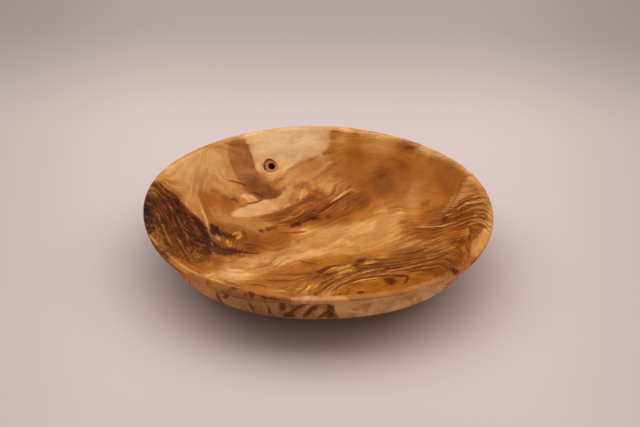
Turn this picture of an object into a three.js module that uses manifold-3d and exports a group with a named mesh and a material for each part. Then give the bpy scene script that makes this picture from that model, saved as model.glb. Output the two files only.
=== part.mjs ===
// A turned wooden plate with its encased knot.
// Millimetres, +Z up. The plate stands on its foot ring at z = 0, with its turning axis on Z.
// +X is to the right and -Y to the front of the plate as it is looked at.

import * as THREE from 'three';
import { mergeVertices } from 'three/addons/utils/BufferGeometryUtils.js';
import Module from 'manifold-3d';

// Plate: overall sizes
const plateDiameter = 250;
const plateHeight = 46; // from the table to the top of the lip
const bottomThickness = 8; // wood left at the centre, over the foot's recess

// Lip
const lipWidth = 6.6; // from the outermost edge to where the inside wall begins
const lipOuterRadius = 1.6;
const lipInnerRadius = 3;

// Wall: steepest at the belly, flaring out again under the lip. The inside is gentler than the outside.
const wallThickness = 8.8; // at the belly
const bellySlope = 72; // degrees from level, where the outside is steepest
const insideSlope = 53; // the same for the inside
const bellyInset = 10.3; // from the lip's outermost edge in to the steepest point
const bellyDrop = 15.1; // from the lip's crown down to the steepest point
const flareSlope = 45; // degrees from level, just under the lip
const flareReach = 0.36; // length of the flare's curve handles over its own length

// Underside and inside floor, each nearly straight until it turns up into the wall
const undersideSlope = 12.4; // degrees from level, where it leaves the foot
const undersideReach = 0.92; // how far it runs straight towards the corner, 0 to 1
const undersideWallReach = 0.83; // how far the wall runs straight down towards the corner
const insideReach = 0.62; // the same two for the inside, which turns more gently
const insideWallReach = 0.62;

// Foot
const footDiameter = 94;
const footHeight = 2.2;
const footRingWidth = 13;
const footRecessDepth = 1.2;
const footEdgeRadius = 0.8;
const footRecessRadius = 1; // round corner inside the ring

// Seasoning: the blank moved a little as it dried, most at the lip and not at all over the foot.
// Each wave lifts or widens the lip by its size, that many times round the plate; its phase is in degrees.
const seasonLifts = [
  { waves: 3, size: 0.52, phase: 118 },
  { waves: 4, size: 1.1, phase: 15 },
];
const seasonSpreads = [{ waves: 4, size: 0.9, phase: 200 }];

// Knot: the stub of a dead branch, encased in the far left of the inside wall
const knotBearing = 111.8; // degrees round the axis from +X
const knotBelowLip = 25.8; // down the inside wall, to the middle of the knot
const knotWidth = 10.7; // round the plate
const knotTallness = 10.7; // up the wall
const knotDepth = 4.4;
const knotTaper = 0.8; // width at the blind end over width at the face
const knotLobes = 0.07; // how far its outline leaves an ellipse, as a share
const knotPitWidth = 4.4;
const knotPitDepth = 2.6;
const knotPitShift = 0.9; // the pit lies off the knot's middle, away from its bark tails
const seatGap = 0.3; // between the knot and its socket

// Fineness of the faces
const turns = 84;
const sweepSteps = 12;
const flareSteps = 4;
const arcSteps = 4;
const knotSides = 28;

const plateRadius = plateDiameter / 2;
const footRadius = footDiameter / 2;
const rad = THREE.MathUtils.degToRad;

// Points of an arc, from one bearing to another, in degrees.
function arc(centreX, centreY, radius, from, to) {
  const points = [];
  for (let i = 0; i <= arcSteps; i++) {
    const angle = rad(from + ((to - from) * i) / arcSteps);
    points.push(new THREE.Vector2(centreX + radius * Math.cos(angle), centreY + radius * Math.sin(angle)));
  }
  return points;
}

// A unit vector at this slope, in degrees from level.
function heading(slope) {
  return new THREE.Vector2(Math.cos(rad(slope)), Math.sin(rad(slope)));
}

// A turned surface that leaves "start" nearly level and rises into the wall at "end".
// Its handles lie towards the corner where the two straight runs would meet.
function sweep(start, startSlope, end, endSlope, startReach, endReach) {
  const startTan = Math.tan(rad(startSlope));
  const wallTan = Math.tan(rad(endSlope));
  const cornerX = (start.y - end.y + wallTan * end.x - startTan * start.x) / (wallTan - startTan);
  const corner = new THREE.Vector2(cornerX, start.y + startTan * (cornerX - start.x));
  return new THREE.CubicBezierCurve(
    start,
    start.clone().lerp(corner, startReach),
    end.clone().lerp(corner, endReach),
    end,
  );
}

// The wall from its steepest point at the belly to the lip, leaning outwards as it rises.
function flare(belly, slope, lip) {
  const handle = flareReach * belly.distanceTo(lip);
  return new THREE.CubicBezierCurve(
    belly,
    belly.clone().addScaledVector(heading(slope), handle),
    lip.clone().addScaledVector(heading(flareSlope), -handle),
    lip,
  );
}

// Lip: the outer edge reaches the full radius, the crown the full height.
const lipOuterCentre = new THREE.Vector2(plateRadius - lipOuterRadius, plateHeight - lipOuterRadius);
const lipInnerCentre = new THREE.Vector2(
  plateRadius - lipWidth + lipInnerRadius * Math.sin(rad(flareSlope)),
  plateHeight - lipInnerRadius,
);
const lipOuterArc = arc(lipOuterCentre.x, lipOuterCentre.y, lipOuterRadius, flareSlope - 90, 90);
const lipInnerArc = arc(lipInnerCentre.x, lipInnerCentre.y, lipInnerRadius, 90, 90 + flareSlope);

const outsideBelly = new THREE.Vector2(plateRadius - bellyInset, plateHeight - bellyDrop);
const insideBelly = outsideBelly.clone().addScaledVector(heading(bellySlope + 90), wallThickness);
const insideFloor = new THREE.Vector2(0, footRecessDepth + bottomThickness);
const footTop = new THREE.Vector2(footRadius, footHeight);

const underside = sweep(
  footTop, undersideSlope, outsideBelly, bellySlope, undersideReach, undersideWallReach,
);
const outsideFlare = flare(outsideBelly, bellySlope, lipOuterArc[0]);
const insideSweep = sweep(insideFloor, 0, insideBelly, insideSlope, insideReach, insideWallReach);
const insideFlare = flare(insideBelly, insideSlope, lipInnerArc[arcSteps]);

// The whole turned outline, from the recess's centre round the outside and back to the inside's centre.
function plateOutline() {
  const recessRadius = footRadius - footRingWidth;
  return [
    new THREE.Vector2(0, footRecessDepth),
    ...arc(recessRadius - footRecessRadius, footRecessDepth - footRecessRadius, footRecessRadius, 90, 0)
      .filter((point) => point.y > 0),
    new THREE.Vector2(recessRadius, 0),
    ...arc(footRadius - footEdgeRadius, footEdgeRadius, footEdgeRadius, -90, 0),
    ...underside.getPoints(sweepSteps),
    ...outsideFlare.getPoints(flareSteps).slice(1, -1),
    ...lipOuterArc,
    ...lipInnerArc,
    ...insideFlare.getPoints(flareSteps).reverse().slice(1, -1),
    ...insideSweep.getPoints(sweepSteps).reverse(),
  ];
}

// The sum of some waves round the plate, at this bearing.
function waveSum(list, bearing) {
  return list.reduce((sum, wave) => sum + wave.size * Math.cos(wave.waves * bearing - rad(wave.phase)), 0);
}

// Moves a point as the wood moved when it dried.
function season(point) {
  const radius = Math.hypot(point.x, point.y);
  if (radius <= footRadius) return point;
  const bearing = Math.atan2(point.y, point.x);
  const share = ((radius - footRadius) / (plateRadius - footRadius)) ** 2;
  const widened = 1 + (share * waveSum(seasonSpreads, bearing)) / radius;
  const lift = share * waveSum(seasonLifts, bearing);
  return point.set(point.x * widened, point.y * widened, point.z + lift);
}

// Moves each vertex of a geometry by a function of its place.
function reshape(geometry, move) {
  const position = geometry.getAttribute('position');
  const point = new THREE.Vector3();
  for (let i = 0; i < position.count; i++) {
    move(point.fromBufferAttribute(position, i));
    position.setXYZ(i, point.x, point.y, point.z);
  }
  return geometry;
}

// A lathe turns about Y; this stands its axis up along Z.
function turned(outline, sides) {
  const geometry = new THREE.LatheGeometry(outline, sides);
  return geometry.rotateX(Math.PI / 2);
}

const wasm = await Module();
wasm.setup();

// A solid for cutting, from a closed geometry.
function toSolid(geometry) {
  const bare = geometry.clone();
  bare.deleteAttribute('normal');
  bare.deleteAttribute('uv');
  const merged = mergeVertices(bare, 1e-4);
  const index = merged.getIndex().array;
  const faces = [];
  for (let i = 0; i < index.length; i += 3) {
    const [a, b, c] = [index[i], index[i + 1], index[i + 2]];
    if (a !== b && b !== c && c !== a) faces.push(a, b, c);
  }
  return new wasm.Manifold(new wasm.Mesh({
    numProp: 3,
    vertProperties: new Float32Array(merged.getAttribute('position').array),
    triVerts: new Uint32Array(faces),
  }));
}

// The geometry of a cut solid.
function toGeometry(solid) {
  const mesh = solid.getMesh();
  const geometry = new THREE.BufferGeometry();
  geometry.setAttribute('position', new THREE.BufferAttribute(new Float32Array(mesh.vertProperties), 3));
  geometry.setIndex(new THREE.BufferAttribute(new Uint32Array(mesh.triVerts), 1));
  geometry.computeVertexNormals();
  return geometry;
}

// Where the knot's middle meets the inside wall, and the frame there: x round the plate, z out of the wood.
function knotFrame() {
  const along = 1 - (knotBelowLip - insideFlare.getLength()) / insideSweep.getLength();
  const place = insideSweep.getPointAt(along);
  const tangent = insideSweep.getTangentAt(along);
  const bearing = rad(knotBearing);
  const outwards = new THREE.Vector3(Math.cos(bearing), Math.sin(bearing), 0);
  const upWall = outwards.clone().multiplyScalar(tangent.x).setZ(tangent.y);
  const outOfWood = outwards.clone().multiplyScalar(-tangent.y).setZ(tangent.x);
  const round = new THREE.Vector3().crossVectors(upWall, outOfWood);
  const middle = season(outwards.clone().multiplyScalar(place.x).setZ(place.y));
  return new THREE.Matrix4().makeBasis(round, upWall, outOfWood).setPosition(middle);
}

// A tapered stub with the knot's outline, grown all round by "margin", from "top" down to "bottom".
function knotStub(margin, top, bottom) {
  const slope = (1 - knotTaper) / knotDepth;
  const widthAt = (height) => 1 + slope * height;
  const outline = [
    new THREE.Vector2(0, bottom),
    new THREE.Vector2(widthAt(bottom), bottom),
    new THREE.Vector2(widthAt(top), top),
    new THREE.Vector2(0, top),
  ];
  return reshape(turned(outline, knotSides), (point) => {
    const share = Math.hypot(point.x, point.y);
    if (share === 0) return;
    const angle = Math.atan2(point.y, point.x);
    const lobes = 1 + knotLobes * Math.cos(3 * angle + Math.PI / 2);
    const half = new THREE.Vector2(Math.cos(angle) * knotWidth, Math.sin(angle) * knotTallness)
      .multiplyScalar((lobes * share) / 2);
    const grown = (half.length() + margin) / half.length();
    point.x = half.x * grown;
    point.y = half.y * grown;
  });
}

// The rotted heart of the knot: a round-bottomed pit.
function knotPit() {
  const outline = [new THREE.Vector2(0, -knotPitDepth)];
  for (const point of arc(0, 0, 1, -75, 0)) {
    outline.push(new THREE.Vector2((point.x * knotPitWidth) / 2, point.y * knotPitDepth));
  }
  outline.push(new THREE.Vector2(knotPitWidth / 2, knotDepth));
  outline.push(new THREE.Vector2(0, knotDepth));
  return turned(outline, knotSides).translate(knotPitShift, -knotPitShift / 2, 0);
}

const seat = knotFrame();
const blank = toSolid(reshape(turned(plateOutline(), turns), season));
const socket = toSolid(knotStub(seatGap, knotDepth, -knotDepth - seatGap).applyMatrix4(seat));
const stub = toSolid(knotStub(0, knotDepth, -knotDepth).applyMatrix4(seat));
const pit = toSolid(knotPit().applyMatrix4(seat));

const plateGeometry = toGeometry(blank.subtract(socket));
const knotGeometry = toGeometry(stub.intersect(blank).subtract(pit));

function piece(name, geometry, color, roughness) {
  const mesh = new THREE.Mesh(geometry, new THREE.MeshStandardMaterial({ color, roughness, metalness: 0 }));
  mesh.name = name;
  return mesh;
}

const turnedPlate = new THREE.Group();
turnedPlate.add(piece('plate', plateGeometry, 0xc88a4a, 0.42));
turnedPlate.add(piece('knot', knotGeometry, 0x6a3a1c, 0.6));

export default turnedPlate;
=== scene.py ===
"""A turned wooden plate with an encased knot, on a pale floor under one broad soft lamp.

The scene is in metres and the sizes below are in millimetres, with +Z up. The turning axis stands
on Z, the foot rests on z = 0, and the plate is looked at from -Y.
"""

import logging
import math
from dataclasses import dataclass, field
from enum import Enum
from typing import Any, Sequence, Union

import bmesh
import bpy
import numpy as np
from mathutils import Matrix, Vector


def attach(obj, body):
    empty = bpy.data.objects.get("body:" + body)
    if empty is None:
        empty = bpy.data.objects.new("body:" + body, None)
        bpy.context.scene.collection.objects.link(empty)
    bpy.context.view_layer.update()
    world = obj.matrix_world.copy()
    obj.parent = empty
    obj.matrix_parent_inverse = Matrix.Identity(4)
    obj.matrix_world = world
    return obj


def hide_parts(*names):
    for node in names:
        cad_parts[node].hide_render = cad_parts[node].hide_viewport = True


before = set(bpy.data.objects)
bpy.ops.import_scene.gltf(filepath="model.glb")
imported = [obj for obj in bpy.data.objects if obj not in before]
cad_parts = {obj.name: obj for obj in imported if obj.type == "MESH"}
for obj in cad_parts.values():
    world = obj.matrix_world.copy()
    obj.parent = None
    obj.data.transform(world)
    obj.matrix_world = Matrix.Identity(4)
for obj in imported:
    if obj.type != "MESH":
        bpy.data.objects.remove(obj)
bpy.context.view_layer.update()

MM = 0.001
SECTORS = 12
LOG = logging.getLogger("turned_plate")

# Vertices nearer than this, in millimetres, are one
MERGE_GAP = 0.001
# A place nearer to an axis than this is on it
ON_AXIS = 1e-6
# Stands in for nothing, by which nothing can be divided
SPECK = 1e-9

Number = Union["Field", float]


# Shader graph

class Field:
    """A number that changes over a surface. Arithmetic on it adds Math nodes."""

    def __init__(self, shader: "Graph", socket: bpy.types.NodeSocket) -> None:
        """Wraps one output socket of a node in the graph."""
        self.shader = shader
        self.socket = socket

    def maths(self, operation: str, *values: Number) -> "Field":
        """Adds one Math node.

        Args:
            operation: The Math node's operation.
            *values: What goes into its sockets, in order.

        Returns:
            The node's result.
        """
        made = self.shader.node("ShaderNodeMath", {"operation": operation}, dict(enumerate(values)))
        return Field(self.shader, made.outputs[0])

    def __add__(self, other: Number) -> "Field":
        """self + other."""
        return self.maths("ADD", self, other)

    def __radd__(self, other: Number) -> "Field":
        """other + self."""
        return self.maths("ADD", other, self)

    def __sub__(self, other: Number) -> "Field":
        """self - other."""
        return self.maths("SUBTRACT", self, other)

    def __rsub__(self, other: Number) -> "Field":
        """other - self."""
        return self.maths("SUBTRACT", other, self)

    def __mul__(self, other: Number) -> "Field":
        """self * other."""
        return self.maths("MULTIPLY", self, other)

    def __rmul__(self, other: Number) -> "Field":
        """other * self."""
        return self.maths("MULTIPLY", other, self)

    def __truediv__(self, other: Number) -> "Field":
        """self / other."""
        return self.maths("DIVIDE", self, other)

    def __rtruediv__(self, other: Number) -> "Field":
        """other / self."""
        return self.maths("DIVIDE", other, self)

    def __rpow__(self, other: Number) -> "Field":
        """other ** self."""
        return self.maths("POWER", other, self)

    def __abs__(self) -> "Field":
        """abs(self)."""
        return self.maths("ABSOLUTE", self)

    def most(self, other: Number) -> "Field":
        """The larger of the two."""
        return self.maths("MAXIMUM", self, other)

    def step(self, low: float, high: float, smooth: bool = True) -> "Field":
        """Goes from 0 at low to 1 at high, and stays there.

        Args:
            low: Where the step begins.
            high: Where it ends; it may be below low, and then the step runs backwards.
            smooth: Whether both ends are eased.

        Returns:
            The step, from 0 to 1.
        """
        made = self.shader.node(
            "ShaderNodeMapRange",
            {"interpolation_type": "SMOOTHSTEP" if smooth else "LINEAR"},
            {"Value": self, "From Min": low, "From Max": high},
        )
        return Field(self.shader, made.outputs[0])


class Graph:
    """A node tree, with the calls that add nodes to it."""

    def __init__(self, tree: bpy.types.NodeTree) -> None:
        """Empties the tree."""
        self.tree = tree
        self.tree.nodes.clear()

    def node(
        self,
        kind: str,
        settings: dict[str, Any] | None = None,
        inputs: dict[Union[str, int], Any] | None = None,
    ) -> bpy.types.Node:
        """Adds a node.

        Args:
            kind: The node's type.
            settings: Its properties, which are set before its sockets are filled.
            inputs: Values, fields or sockets, by the socket's name or number.

        Returns:
            The node.
        """
        made = self.tree.nodes.new(kind)
        for key, value in (settings or {}).items():
            setattr(made, key, value)
        for key, value in (inputs or {}).items():
            self.plug(made.inputs[key], value)
        return made

    def plug(self, socket: bpy.types.NodeSocket, value: Any) -> None:
        """Fills a socket.

        Args:
            socket: The socket that is filled.
            value: A field or a socket, which is linked to it, or a plain value.
        """
        if isinstance(value, Field):
            value = value.socket
        if isinstance(value, bpy.types.NodeSocket):
            self.tree.links.new(value, socket)
        else:
            socket.default_value = value


class Shader(Graph):
    """The node tree of one material."""

    def __init__(self, name: str) -> None:
        """Makes a material with a Principled surface and nothing else.

        Args:
            name: What to call the material.
        """
        self.material = bpy.data.materials.new(name)
        self.material.use_nodes = True
        super().__init__(self.material.node_tree)
        self.surface = self.node("ShaderNodeBsdfPrincipled")
        self.node("ShaderNodeOutputMaterial", None, {"Surface": self.surface.outputs[0]})

    def attribute(self, name: str) -> bpy.types.Node:
        """The node that reads one of the mesh's own attributes."""
        return self.node("ShaderNodeAttribute", {"attribute_type": "GEOMETRY", "attribute_name": name})

    def painted(self, name: str) -> Field:
        """The number that the mesh carries under this name."""
        return Field(self, self.attribute(name).outputs["Fac"])

    def split(self, vector: bpy.types.NodeSocket) -> tuple[Field, Field, Field]:
        """Takes a vector apart.

        Args:
            vector: The vector.

        Returns:
            Its three numbers.
        """
        made = self.node("ShaderNodeSeparateXYZ", None, {0: vector})
        x, y, z = (Field(self, output) for output in made.outputs)
        return x, y, z

    def join(self, x: Number, y: Number, z: Number) -> bpy.types.NodeSocket:
        """A vector of three numbers."""
        return self.node("ShaderNodeCombineXYZ", None, {0: x, 1: y, 2: z}).outputs[0]

    def vector(self, operation: str, *values: Any) -> bpy.types.NodeSocket:
        """The result of one Vector Math node."""
        made = self.node("ShaderNodeVectorMath", {"operation": operation}, dict(enumerate(values)))
        return made.outputs["Value" if operation == "LENGTH" else "Vector"]

    def noise(self, vector: bpy.types.NodeSocket, detail: float, roughness: float) -> Field:
        """Smooth noise about 0, mostly from -0.5 to 0.5.

        Args:
            vector: Where the noise is read; its cells are 1 wide.
            detail: Finer layers that are added.
            roughness: How strong the finer layers are.

        Returns:
            The noise.
        """
        inputs = {"Vector": vector, "Scale": 1.0, "Detail": detail, "Roughness": roughness}
        made = self.node("ShaderNodeTexNoise", {"noise_dimensions": "3D"}, inputs)
        return Field(self, made.outputs[0]) - 0.5

    def blend(self, factor: Number, below: Any, above: Any) -> bpy.types.NodeSocket:
        """Lays one colour over another.

        Args:
            factor: How much of the upper colour shows, from 0 to 1.
            below: The lower colour.
            above: The upper colour.

        Returns:
            The mixed colour.
        """
        made = self.node("ShaderNodeMix", {"data_type": "RGBA", "clamp_factor": True})
        sockets = {socket.identifier: socket for socket in made.inputs}
        for name, value in (("Factor_Float", factor), ("A_Color", below), ("B_Color", above)):
            self.plug(sockets[name], value)
        return next(output for output in made.outputs if output.identifier == "Result_Color")

    def relief(self, height: Field, strength: float, reach: float) -> None:
        """Raises the surface where a field is high.

        Args:
            height: The field.
            strength: How much of the relief shows, from 0 to 1.
            reach: Millimetres by which 1 of the field raises it.
        """
        inputs = {"Strength": strength, "Distance": reach * MM, "Height": height}
        made = self.node("ShaderNodeBump", None, inputs)
        self.plug(self.surface.inputs["Normal"], made.outputs[0])


def linear(red: float, green: float, blue: float) -> tuple[float, float, float, float]:
    """Turns a colour as a screen shows it, in 0 to 255, into the linear one that shaders mix."""
    parts = [part / 255 for part in (red, green, blue)]
    return tuple(p / 12.92 if p <= 0.04045 else ((p + 0.055) / 1.055) ** 2.4 for p in parts) + (1.0,)


# Turned shape

def arc(centre: Vector, radius: float, start: float, end: float, steps: int) -> list[Vector]:
    """Points along an arc, between two bearings in degrees."""
    bearings = (math.radians(start + (end - start) * i / steps) for i in range(steps + 1))
    return [centre + radius * Vector((math.cos(b), math.sin(b))) for b in bearings]


def curve(start: Vector, leave: Vector, arrive: Vector, end: Vector, steps: int) -> list[Vector]:
    """Points along a cubic curve.

    Args:
        start: Where it begins.
        leave: The handle that it leaves its start towards.
        arrive: The handle that it reaches its end from.
        end: Where it ends.
        steps: Parts that it is cut into.

    Returns:
        The points, with both ends.
    """
    points = []
    for i in range(steps + 1):
        t = i / steps
        s = 1 - t
        points.append(s**3 * start + 3 * s * s * t * leave + 3 * s * t * t * arrive + t**3 * end)
    return points


def heading(slope: float) -> Vector:
    """The unit vector at this slope, in degrees from level."""
    return Vector((math.cos(math.radians(slope)), math.sin(math.radians(slope))))


@dataclass(frozen=True)
class Wave:
    """A wave that the lip took on as the wood dried, in millimetres and degrees."""

    waves: int
    size: float
    phase: float

    def at(self, bearing: np.ndarray) -> np.ndarray:
        """How far it moves the lip at these bearings, in metres."""
        return self.size * MM * np.cos(self.waves * bearing - math.radians(self.phase))


@dataclass(frozen=True)
class PlateOutline:
    """The plate's turned section, in millimetres from the axis and up from the table."""

    radius: float = 125.0
    height: float = 46.0
    bottom: float = 8.0
    lip_width: float = 6.6
    lip_outer_radius: float = 1.6
    lip_inner_radius: float = 3.0
    wall: float = 8.8
    belly_slope: float = 72.0
    inside_slope: float = 53.0
    belly_inset: float = 10.3
    belly_drop: float = 15.1
    flare_slope: float = 45.0
    flare_reach: float = 0.36
    underside_slope: float = 12.4
    underside_reach: float = 0.92
    underside_wall_reach: float = 0.83
    inside_reach: float = 0.62
    inside_wall_reach: float = 0.62
    foot_radius: float = 47.0
    foot_height: float = 2.2
    foot_ring: float = 13.0
    foot_recess: float = 1.2
    foot_edge_radius: float = 0.8
    foot_recess_radius: float = 1.0
    season_lifts: tuple[Wave, ...] = (Wave(3, 0.52, 118.0), Wave(4, 1.1, 15.0))
    season_spreads: tuple[Wave, ...] = (Wave(4, 0.9, 200.0),)
    sweep_steps: int = 84
    flare_steps: int = 12
    arc_steps: int = 8
    recess_steps: int = 12
    sole_steps: int = 6
    unseason_rounds: int = 4

    def sweep(
        self, start: Vector, slope: float, end: Vector, end_slope: float, reach: float, wall_reach: float
    ) -> list[Vector]:
        """A run that leaves its start nearly level and turns up into the wall.

        Args:
            start: Its inner end.
            slope: Degrees from level there.
            end: The wall's steepest point, where it ends.
            end_slope: Degrees from level there.
            reach: How far it runs straight towards the corner of the two slopes.
            wall_reach: How far the wall runs straight down towards that corner.

        Returns:
            The run's points.
        """
        start_tan = math.tan(math.radians(slope))
        wall_tan = math.tan(math.radians(end_slope))
        corner_x = (start.y - end.y + wall_tan * end.x - start_tan * start.x) / (wall_tan - start_tan)
        corner = Vector((corner_x, start.y + start_tan * (corner_x - start.x)))
        return curve(start, start.lerp(corner, reach), end.lerp(corner, wall_reach), end, self.sweep_steps)

    def flare(self, belly: Vector, slope: float, lip: Vector) -> list[Vector]:
        """The wall from its steepest point up to the lip.

        Args:
            belly: The steepest point.
            slope: Degrees from level there.
            lip: Where the lip begins.

        Returns:
            The wall's points.
        """
        handle = self.flare_reach * (lip - belly).length
        leave = belly + handle * heading(slope)
        arrive = lip - handle * heading(self.flare_slope)
        return curve(belly, leave, arrive, lip, self.flare_steps)

    def lip_outer(self) -> list[Vector]:
        """The lip's outer corner, from under it up to the crown."""
        centre = Vector((self.radius - self.lip_outer_radius, self.height - self.lip_outer_radius))
        return arc(centre, self.lip_outer_radius, self.flare_slope - 90, 90, self.arc_steps)

    def lip_inner(self) -> list[Vector]:
        """The lip's inner corner.

        Returns:
            Its points, from the crown down to the inside wall.
        """
        reach = self.lip_inner_radius * math.sin(math.radians(self.flare_slope))
        centre = Vector((self.radius - self.lip_width + reach, self.height - self.lip_inner_radius))
        return arc(centre, self.lip_inner_radius, 90, 90 + self.flare_slope, self.arc_steps)

    def outer_belly(self) -> Vector:
        """The outside wall's steepest point."""
        return Vector((self.radius - self.belly_inset, self.height - self.belly_drop))

    def inside(self) -> list[Vector]:
        """The inside.

        Returns:
            Its points, from the axis to the crown of the lip.
        """
        belly = self.outer_belly() + self.wall * heading(self.belly_slope + 90)
        floor = Vector((0.0, self.foot_recess + self.bottom))
        lip = self.lip_inner()[::-1]
        run = self.sweep(floor, 0.0, belly, self.inside_slope, self.inside_reach, self.inside_wall_reach)
        return run + self.flare(belly, self.inside_slope, lip[0])[1:] + lip[1:]

    def outside(self) -> list[Vector]:
        """The outside.

        Returns:
            Its points, from the recess's centre to the crown of the lip.
        """
        ring = self.foot_radius - self.foot_ring
        recess = Vector((ring - self.foot_recess_radius, self.foot_recess - self.foot_recess_radius))
        corner = [p for p in arc(recess, self.foot_recess_radius, 90, 0, self.arc_steps) if p.y > 0]
        edge = Vector((self.foot_radius - self.foot_edge_radius, self.foot_edge_radius))
        foot = Vector((self.foot_radius, self.foot_height))
        flat = [Vector((ring * i / self.recess_steps, self.foot_recess)) for i in range(self.recess_steps)]
        width = edge.x - ring
        sole = [Vector((ring + width * i / self.sole_steps, 0.0)) for i in range(self.sole_steps)]
        belly = self.outer_belly()
        reaches = self.underside_reach, self.underside_wall_reach
        lip = self.lip_outer()
        return [
            *flat,
            *corner,
            *sole,
            *arc(edge, self.foot_edge_radius, -90, 0, self.arc_steps),
            *self.sweep(foot, self.underside_slope, belly, self.belly_slope, *reaches),
            *self.flare(belly, self.belly_slope, lip[0])[1:-1],
            *lip,
        ]

    def seasoned(self, points: np.ndarray) -> np.ndarray:
        """Moves points of the turned blank to where they went as it dried.

        Args:
            points: The points, in metres, one a row.

        Returns:
            Their places in the dried plate, in metres.
        """
        radius = np.hypot(points[:, 0], points[:, 1])
        bearing = np.arctan2(points[:, 1], points[:, 0])
        foot, rim = self.foot_radius * MM, self.radius * MM
        share = np.clip((radius - foot) / (rim - foot), 0, None) ** 2
        spread = sum(wave.at(bearing) for wave in self.season_spreads)
        widened = 1 + share * spread / np.maximum(radius, foot)
        moved = points * np.stack([widened, widened, np.ones(len(points))], 1)
        moved[:, 2] += share * sum(wave.at(bearing) for wave in self.season_lifts)
        return moved

    def unseasoned(self, points: np.ndarray) -> np.ndarray:
        """Moves points of the dried plate back to where they were in the turned blank.

        Args:
            points: The points, in metres, one a row.

        Returns:
            Their places in the turned blank, in metres.
        """
        before = points.copy()
        for _ in range(self.unseason_rounds):
            before += points - self.seasoned(before)
        return before


def points_of(mesh: bpy.types.Mesh) -> np.ndarray:
    """Reads a mesh's vertices.

    Args:
        mesh: The mesh.

    Returns:
        Their places, one a row.
    """
    flat = np.empty(len(mesh.vertices) * 3)
    mesh.vertices.foreach_get("co", flat)
    return flat.reshape(-1, 3)


def season(target: bmesh.types.BMesh, outline: PlateOutline) -> None:
    """Moves a turned blank's vertices to where they are after drying.

    Args:
        target: The blank.
        outline: The plate's section, which knows how the wood moved.
    """
    before = np.array([vert.co for vert in target.verts])
    for vert, place in zip(target.verts, outline.seasoned(before)):
        vert.co = place


def spun(outline: Sequence[Vector], steps: int) -> bmesh.types.BMesh:
    """Turns an outline about Z.

    Args:
        outline: Points (radius, height) in millimetres. It begins and ends on the axis.
        steps: Faces in one turn, a multiple of SECTORS.

    Returns:
        A closed mesh in metres with its faces pointing out.
    """
    made = bmesh.new()
    verts = [made.verts.new((point.x * MM, 0.0, point.y * MM)) for point in outline]
    edges = [made.edges.new(pair) for pair in zip(verts, verts[1:])]
    axis = {"cent": (0, 0, 0), "axis": (0, 0, 1)}
    sector = math.tau / SECTORS
    bmesh.ops.spin(made, geom=verts + edges, angle=sector, steps=steps // SECTORS, **axis)
    first = [*made.verts, *made.edges, *made.faces]
    copies = SECTORS - 1
    bmesh.ops.spin(made, geom=first, angle=sector * copies, steps=copies, use_duplicate=True, **axis)
    bmesh.ops.remove_doubles(made, verts=made.verts, dist=MERGE_GAP * MM)
    bmesh.ops.recalc_face_normals(made, faces=made.faces)
    return made


def placed(made: bmesh.types.BMesh, name: str) -> bpy.types.Object:
    """Puts a finished bmesh in the scene, shaded smooth.

    Args:
        made: The bmesh, which is freed.
        name: What to call the object and its mesh.

    Returns:
        The object, at the origin.
    """
    mesh = bpy.data.meshes.new(name)
    made.to_mesh(mesh)
    made.free()
    mesh.shade_smooth()
    thing = bpy.data.objects.new(name, mesh)
    bpy.context.scene.collection.objects.link(thing)
    return thing


def carve(target: bpy.types.Object, tool: bpy.types.Object, operation: str) -> None:
    """Applies one boolean to a piece.

    Args:
        target: The piece that is cut.
        tool: The shape that cuts it.
        operation: DIFFERENCE or INTERSECT.
    """
    modifier = target.modifiers.new("carve", "BOOLEAN")
    modifier.operation = operation
    modifier.solver = "EXACT"
    modifier.object = tool
    view = bpy.context.evaluated_depsgraph_get()
    result = bpy.data.meshes.new_from_object(target.evaluated_get(view))
    target.modifiers.remove(modifier)
    old = target.data
    target.data = result
    bpy.data.meshes.remove(old)


def coat(piece: bpy.types.Object, material: bpy.types.Material) -> None:
    """Gives a piece this material and no other."""
    piece.data.materials.clear()
    piece.data.materials.append(material)


def discard(*things: bpy.types.Object) -> None:
    """Removes shapes that only served to cut others."""
    for thing in things:
        bpy.data.meshes.remove(thing.data)


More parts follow.
